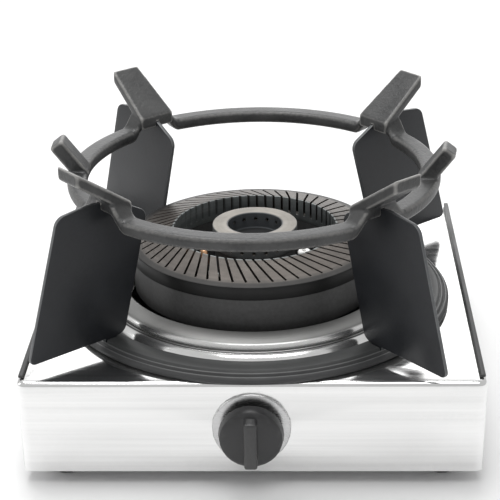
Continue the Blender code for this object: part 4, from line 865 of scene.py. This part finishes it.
casting = make_ring()
for wing_angle in WING_ANGLES.values():
    add_prong(casting, wing_angle)
for horn_angle in HORN_ANGLES:
    add_horn(casting, horn_angle)
support = finished(casting, "pan_support_casting", "stand", ["support_ring"], ON_STAND)
melt = support.modifiers.new("melt", "REMESH")
melt.mode = "VOXEL"
melt.voxel_size = CASTING_VOXEL
melt.use_smooth_shade = True
fillet = support.modifiers.new("fillet", "SMOOTH")
fillet.factor = 0.5
fillet.iterations = 4
settle(support, 50.0)
wing_saw = bmesh.new()
for wing_angle in WING_ANGLES.values():
    blade = bmesh.new()
    thickened(blade, wing_face(blade, SAW_CLEARANCE), WING_THICK + 2 * SAW_CLEARANCE)
    merge_into(wing_saw, blade, ON_STAND @ Matrix.Rotation(wing_angle, 4, "Z"))
cut(support, wing_saw, sharp_angle=50.0)
dressed(support, "cast_enamel")
print("pan support", len(support.data.polygons), "faces")

# %% [markdown]
# ## The wings
#
# Each wing is a flat plate with rounded corners, cut from sheet and enamelled, standing on edge in a
# slot of the base ring by a short tongue. The outline is a face, its corners are rounded with a
# vertex bevel, and it is extruded to the sheet's thickness. The rim gets a fine round, because enamel
# never covers a knife edge. It draws thin there too, and the faces of the rim take a lighter finish,
# partly for that thin enamel and partly as a painted highlight: the light line round the plate.

# %% Four wings and their tongues
TONGUE = (114.0, 122.5)
TONGUE_DEPTH = 4.2
TONGUE_CLEARANCE = 0.3
WING_CORNER = 5.0
RIM_COSINE = 0.9


def make_wing(name, angle):
    plate = bmesh.new()
    face = wing_face(plate)
    bmesh.ops.bevel(
        plate,
        geom=face.verts[:],
        offset=WING_CORNER * MM,
        offset_type="OFFSET",
        segments=6,
        profile=0.5,
        affect="VERTICES",
        clamp_overlap=True,
        material=-1,
    )
    thickened(plate, plate.faces[:][0], WING_THICK)
    rounded_edges(plate, 0.55, 3, 50.0)
    place = ON_STAND @ Matrix.Rotation(angle, 4, "Z")
    wing = finished(plate, f"{name}_plate", "stand", [name], place, 40.0)
    foot = WING_OUTLINE[1][1]
    tongue = bmesh.new()
    half = WING_THICK / 2 - 0.02
    add_block(tongue, (TONGUE[0], -half, foot - TONGUE_DEPTH), (TONGUE[1], half, foot + 3.0), place)
    cut(wing, tongue, "UNION", 40.0)
    dressed(wing, "enamel_sheet")
    # The rim faces get the lighter rim finish, a painted highlight as well as thin enamel.
    wing.data.materials.append(FINISHES["enamel_rim_and_painted_highlight"])
    plate_side = place.to_3x3() @ Vector((0.0, 1.0, 0.0))
    for face in wing.data.polygons:
        face.material_index = int(abs(face.normal.dot(plate_side)) < RIM_COSINE)
    return wing


for wing_label, wing_angle in WING_ANGLES.items():
    make_wing(f"wing_{wing_label}", wing_angle)

# %% [markdown]
# ## The base ring
#
# The wings stand on a flat cast ring that lies on the hob. Two fine raised lines run round it near
# its outer edge, left by the pattern it was cast from, and the finish paints a lighter band on each as
# a painted highlight. The section has a point for each of them, and four slots take the wings' tongues.

# %% Spin the base ring and saw its four slots
BASE_INNER, BASE_OUTER, BASE_HIGH = 108.5, 128.0, 7.2


def make_base_ring():
    outline = [
        (BASE_INNER, 0.1),
        (BASE_OUTER - 1.2, 0.1),
        (BASE_OUTER, 1.3),
        (BASE_OUTER, 3.0),
        (BASE_OUTER - 1.3, 4.6),
        (BASE_OUTER - 2.3, 4.9),
        (BASE_OUTER - 2.7, 4.3),
        (BASE_OUTER - 3.3, 4.4),
        (BASE_OUTER - 4.0, 5.9),
        (BASE_OUTER - 5.0, 6.2),
        (BASE_OUTER - 5.4, 5.6),
        (BASE_OUTER - 6.0, 5.8),
        (BASE_OUTER - 7.0, BASE_HIGH),
        (BASE_INNER + 1.2, BASE_HIGH),
        (BASE_INNER, BASE_HIGH - 1.2),
    ]
    shape = spun(outline, 256, edge=0.25, segments=2)
    ring = finished(shape, "base_ring_casting", "stand", ["base_ring"], ON_STAND)
    slots = bmesh.new()
    half = WING_THICK / 2 + TONGUE_CLEARANCE
    foot = WING_OUTLINE[1][1] - TONGUE_DEPTH - TONGUE_CLEARANCE
    near, far = TONGUE[0] - TONGUE_CLEARANCE, TONGUE[1] + TONGUE_CLEARANCE
    for angle in WING_ANGLES.values():
        place = ON_STAND @ Matrix.Rotation(angle, 4, "Z")
        add_block(slots, (near, -half, foot), (far, half, BASE_HIGH + 2.0), place)
    cut(ring, slots)
    return dressed(ring, "cast_ring_painted_ridge_highlights")


make_base_ring()

# %% [markdown]
# ## The surround
#
# A thin stainless pressing closes the gap round the burner. It has a matt collar, a rounded
# shoulder, a groove, and a bright cone down to the hob; its finish paints a highlight on the shoulder
# and shade in the groove. The section follows the sheet once along its top and once along its
# underside, one sheet's thickness lower.

# %% Spin the surround
SHEET = 1.3


def make_surround():
    top_line = [
        (86.0, 13.0),
        (86.5, 15.0),
        (87.8, 16.0),
        (92.0, 15.2),
        (96.8, 14.0),
        (98.6, 13.2),
        (99.6, 11.9),
        (100.0, 10.4),
        (100.1, 8.3),
        (100.7, 7.7),
        (101.7, 7.4),
        (103.4, 5.2),
        (105.2, 2.6),
        (106.2, 1.7),
        (107.6, 1.4),
    ]
    underside = []
    for index, point in enumerate(top_line):
        before = Vector(top_line[max(index - 1, 0)])
        after = Vector(top_line[min(index + 1, len(top_line) - 1)])
        run = (after - before).normalized()
        lower = Vector(point) + Vector((run.y, -run.x)) * (SHEET * 0.93)
        underside.append((lower.x, max(lower.y, 0.12)))
    shape = spun(top_line + underside[::-1], 256, edge=0.12, segments=1, corner_angle=50.0)
    piece = finished(shape, "surround_pressing", "hob", ["burner_surround"], ON_AXIS, 40.0)
    return dressed(piece, "stainless_turned_painted_highlight_and_shade")


make_surround()

# %% [markdown]
# ## The crown
#
# The outer crown is a machined ring whose top slopes gently up toward the middle. Gas leaves through
# slots sawn aslant across that slope and down through the inner wall, and a plain rim is left
# outside. One spin makes the blank. The saw is one mesh with a blade for each slot.

# %% Spin the crown and saw its slots
CROWN_OUTER, CROWN_INNER = 82.0, 53.4
CROWN_EDGE, CROWN_CREST = 43.0, 49.5
SLOT_COUNT, SLOT_WIDE, SLOT_END = 58, 1.5, 76.5
SLOT_SLANT = math.radians(31.0)
SLOT_FLOOR = 38.0
CROWN_SEAT = 34.3
BLADE_OVERRUN, BLADE_ABOVE = 8.0, 5.0


def make_crown():
    wall, lip = 3.4, 76.8
    outline = [
        (CROWN_OUTER, CROWN_SEAT),
        (CROWN_OUTER, CROWN_EDGE),
        (CROWN_OUTER - 1.2, CROWN_EDGE + 0.2),
        (CROWN_INNER, CROWN_CREST),
        (CROWN_INNER, CROWN_SEAT),
        (CROWN_INNER + wall + 0.4, CROWN_SEAT),
        (CROWN_INNER + wall + 0.4, CROWN_SEAT - 4.0),
        (CROWN_INNER + wall + 2.0, CROWN_SEAT - 4.0),
        (CROWN_INNER + wall + 2.0, CROWN_CREST - wall - 1.6),
        (lip - wall, CROWN_EDGE - wall + 0.6),
        (lip - 2.4, CROWN_SEAT - 5.0),
        (lip, CROWN_SEAT - 5.0),
        (lip, CROWN_SEAT),
    ]
    shape = spun(outline, SLOT_COUNT * 4, edge=0.5, segments=3)
    crown = finished(shape, "outer_crown_turned", "crown", ["outer_crown"], ON_AXIS)
    across = CROWN_INNER * math.sin(SLOT_SLANT)
    reach = math.sqrt(SLOT_END**2 - across**2) - CROWN_INNER * math.cos(SLOT_SLANT)
    saw = bmesh.new()
    for index in range(SLOT_COUNT):
        around = 2.0 * math.pi * (index + 0.5) / SLOT_COUNT
        start = Vector((CROWN_INNER * math.cos(around), CROWN_INNER * math.sin(around), 0.0)) * MM
        place = ON_AXIS @ Matrix.Translation(start) @ Matrix.Rotation(around + SLOT_SLANT, 4, "Z")
        low = (-BLADE_OVERRUN, -SLOT_WIDE / 2, SLOT_FLOOR)
        high = (reach, SLOT_WIDE / 2, CROWN_CREST + BLADE_ABOVE)
        add_block(saw, low, high, place)
    cut(crown, saw)
    return dressed(crown, "fired_crown")


make_crown()

# %% [markdown]
# ## The inner cap
#
# A small cap with a dished middle closes the inner gas cup. It has two rows of round ports: one
# through its outer wall, and one through the wall of its well, just under the rim. Real ports are
# drilled, so the cutter is a ring of cylinders that point at the axis.

# %% Spin the cap and drill its ports
CAP_OUTER, CAP_HOLE, CAP_TOP, CAP_WALL = 27.8, 17.6, 51.5, 2.4
CAP_SEAT, CAP_WELL = 37.7, 10.5
# Each row of ports: how many, where the drill starts and stops, and its height.
PORTS = (
    (14, CAP_HOLE - 3.0, CAP_HOLE + CAP_WALL + 1.5, 47.0),
    (22, CAP_OUTER - CAP_WALL - 4.0, CAP_OUTER + 3.0, 41.5),
)
PORT_RADIUS = 1.25


def make_cap():
    floor = CAP_TOP - CAP_WELL
    lip = 23.3
    outline = [
        (0.0, floor),
        (CAP_HOLE, floor),
        (CAP_HOLE, CAP_TOP),
        (CAP_OUTER, CAP_TOP),
        (CAP_OUTER, CAP_SEAT),
        (lip, CAP_SEAT),
        (lip, CAP_SEAT - 5.0),
        (lip - 1.6, CAP_SEAT - 5.0),
        (CAP_OUTER - CAP_WALL - 1.6, CAP_TOP - CAP_WALL),
        (CAP_HOLE + CAP_WALL, CAP_TOP - CAP_WALL),
        (CAP_HOLE + CAP_WALL, floor - CAP_WALL),
        (0.0, floor - CAP_WALL),
    ]
    shape = spun(outline, 144, edge=0.6, segments=3, corner_angle=50.0)
    cap = finished(shape, "inner_cap_turned", "cap", ["inner_cap"], ON_AXIS)
    drills = bmesh.new()
    for count, start, stop, height in PORTS:
        for index in range(count):
            around = Matrix.Rotation(2.0 * math.pi * (index + 0.5) / count, 4, "Z")
            middle = Matrix.Translation(Vector(((start + stop) / 2, 0.0, height)) * MM)
            bmesh.ops.create_cone(
                drills,
                cap_ends=True,
                segments=16,
                radius1=PORT_RADIUS * MM,
                radius2=PORT_RADIUS * MM,
                depth=(stop - start) * MM,
                matrix=ON_AXIS @ around @ middle @ Matrix.Rotation(math.pi / 2, 4, "Y"),
            )
    cut(cap, drills)
    return dressed(cap, "fired_cap_painted_well_shade")


make_cap()

# %% [markdown]
# ## Everything else
#
# The rest is right in the CAD model already: the burner's dark body, the hob's shell and tray, the
# feet, the valve, the pipes and the small screws. A CAD mesh comes as loose triangles, so a copy of
# it is merged and shaded smooth, with a small bevel on its sharp edges where the piece is simple
# enough to take one.

# %% Clean copies of the remaining CAD nodes
record = frame["record"]
slot_of = {entry["node"]: entry["material_slot"] for entry in record["subparts"]}
body_of = {name: body for body, names in record["behaviour"]["bodies"].items() for name in names}
EDGE_ROUND = {
    "top_shell": 0.25,
    "side_trim_left": 0.2,
    "side_trim_right": 0.2,
    "knob": 0.35,
    "knob_bezel": 0.15,
    "valve_body": 0.3,
    "valve_bracket": 0.3,
    "piezo_igniter": 0.3,
}
REBUILT = {"support_ring", "base_ring", "burner_surround", "outer_crown", "inner_cap"}
REBUILT |= {f"wing_{label}" for label in WING_ANGLES}


def clean_copy(name):
    shape = bmesh.new()
    shape.from_mesh(frame["nodes"][name].data)
    bmesh.ops.remove_doubles(shape, verts=shape.verts, dist=2e-6)
    bmesh.ops.dissolve_limit(
        shape,
        angle_limit=math.radians(0.4),
        use_dissolve_boundaries=False,
        verts=shape.verts,
        edges=shape.edges,
    )
    if name in EDGE_ROUND:
        rounded_edges(shape, EDGE_ROUND[name], 2, 40.0)
    piece = finished(shape, f"{name}_finished", body_of[name], [name])
    return dressed(piece, slot_of[name])


for cad_name in sorted(set(frame["nodes"]) - REBUILT):
    clean_copy(cad_name)

# %% [markdown]
# ## Floor, light and camera
#
# The object stands on a plain pale floor. A soft light hangs above it and draws the bright lines along
# the castings' rounded edges. A wide card stands behind: bright steel has only its surroundings to
# show, and the card is there for the hob and the back of the crown to mirror. A second softbox high in
# front is there for the surround's cone, and a weak light opens the shadows at the left. The world is
# a plain pale grey.

# %% Floor
def make_floor():
    plane = bmesh.new()
    bmesh.ops.create_grid(plane, x_segments=1, y_segments=1, size=6.0)
    floor = finished(plane, "studio_floor", "", [])
    paint = bpy.data.materials.new("pale floor paint")
    paint.use_nodes = True
    shader = paint.node_tree.nodes["Principled BSDF"]
    shader.inputs["Base Color"].default_value = (0.90, 0.90, 0.90, 1.0)
    shader.inputs["Roughness"].default_value = 0.7
    floor.data.materials.append(paint)
    return floor


make_floor()


# %% Lights
def make_light(name, place, size, power, target):
    lamp = bpy.data.lights.new(name, "AREA")
    lamp.shape = "RECTANGLE"
    lamp.size, lamp.size_y = size
    lamp.energy = power
    light = bpy.data.objects.new(name, lamp)
    bpy.context.scene.collection.objects.link(light)
    light.location = place
    light.rotation_euler = (target - Vector(place)).to_track_quat("-Z", "Y").to_euler()
    return light


make_light("overhead softbox", (-0.15, 0.25, 1.35), (0.8, 0.6), 9.0, AXIS)
make_light("back card", (0.0, 2.2, 1.0), (2.8, 1.9), 22.0, AXIS)
make_light("front softbox", (0.1, -0.75, 1.5), (1.2, 0.5), 5.0, AXIS)
make_light("left fill", (-1.3, -0.2, 0.7), (0.5, 0.7), 2.5, AXIS)

world = bpy.data.worlds.new("studio")
bpy.context.scene.world = world
world.use_nodes = True
world.node_tree.nodes["Background"].inputs["Color"].default_value = (1.0, 1.0, 1.0, 1.0)
world.node_tree.nodes["Background"].inputs["Strength"].default_value = 0.60
bpy.context.scene.view_settings.view_transform = "Standard"

# %% [markdown]
# The camera stands in front and a little to the right, about a metre away, looking down by 26
# degrees through a long lens. Its frame is shifted up a little, so the pan support fills the picture.

# %% Camera
CAMERA_BACK = 0.934
CAMERA_ABOVE_HOB = 0.446
CAMERA_AROUND = math.radians(2.0)
CAMERA_DOWN = 0.457
CAMERA_ROLL = math.radians(-1.08)
SENSOR_WIDTH, LENS = 36.0, 111.1
FRAME_SHIFT = (-0.013, 0.123)


def make_camera():
    eye = bpy.data.cameras.new("camera")
    eye.sensor_width = SENSOR_WIDTH
    eye.lens = LENS
    eye.shift_x, eye.shift_y = FRAME_SHIFT
    camera = bpy.data.objects.new("camera", eye)
    bpy.context.scene.collection.objects.link(camera)
    offset = Vector(
        (CAMERA_BACK * math.sin(CAMERA_AROUND), -CAMERA_BACK * math.cos(CAMERA_AROUND), CAMERA_ABOVE_HOB)
    )
    camera.matrix_world = (
        Matrix.Translation(AXIS + offset)
        @ Matrix.Rotation(CAMERA_AROUND, 4, "Z")
        @ Matrix.Rotation(math.pi / 2 - CAMERA_DOWN, 4, "X")
        @ Matrix.Rotation(CAMERA_ROLL, 4, "Z")
    )
    bpy.context.scene.camera = camera
    return camera


make_camera()

# %% [markdown]
# ## Last: an update
#
# The view layer is updated once more, so every finished piece stands in its place.

# %% Update and finish
bpy.context.view_layer.update()
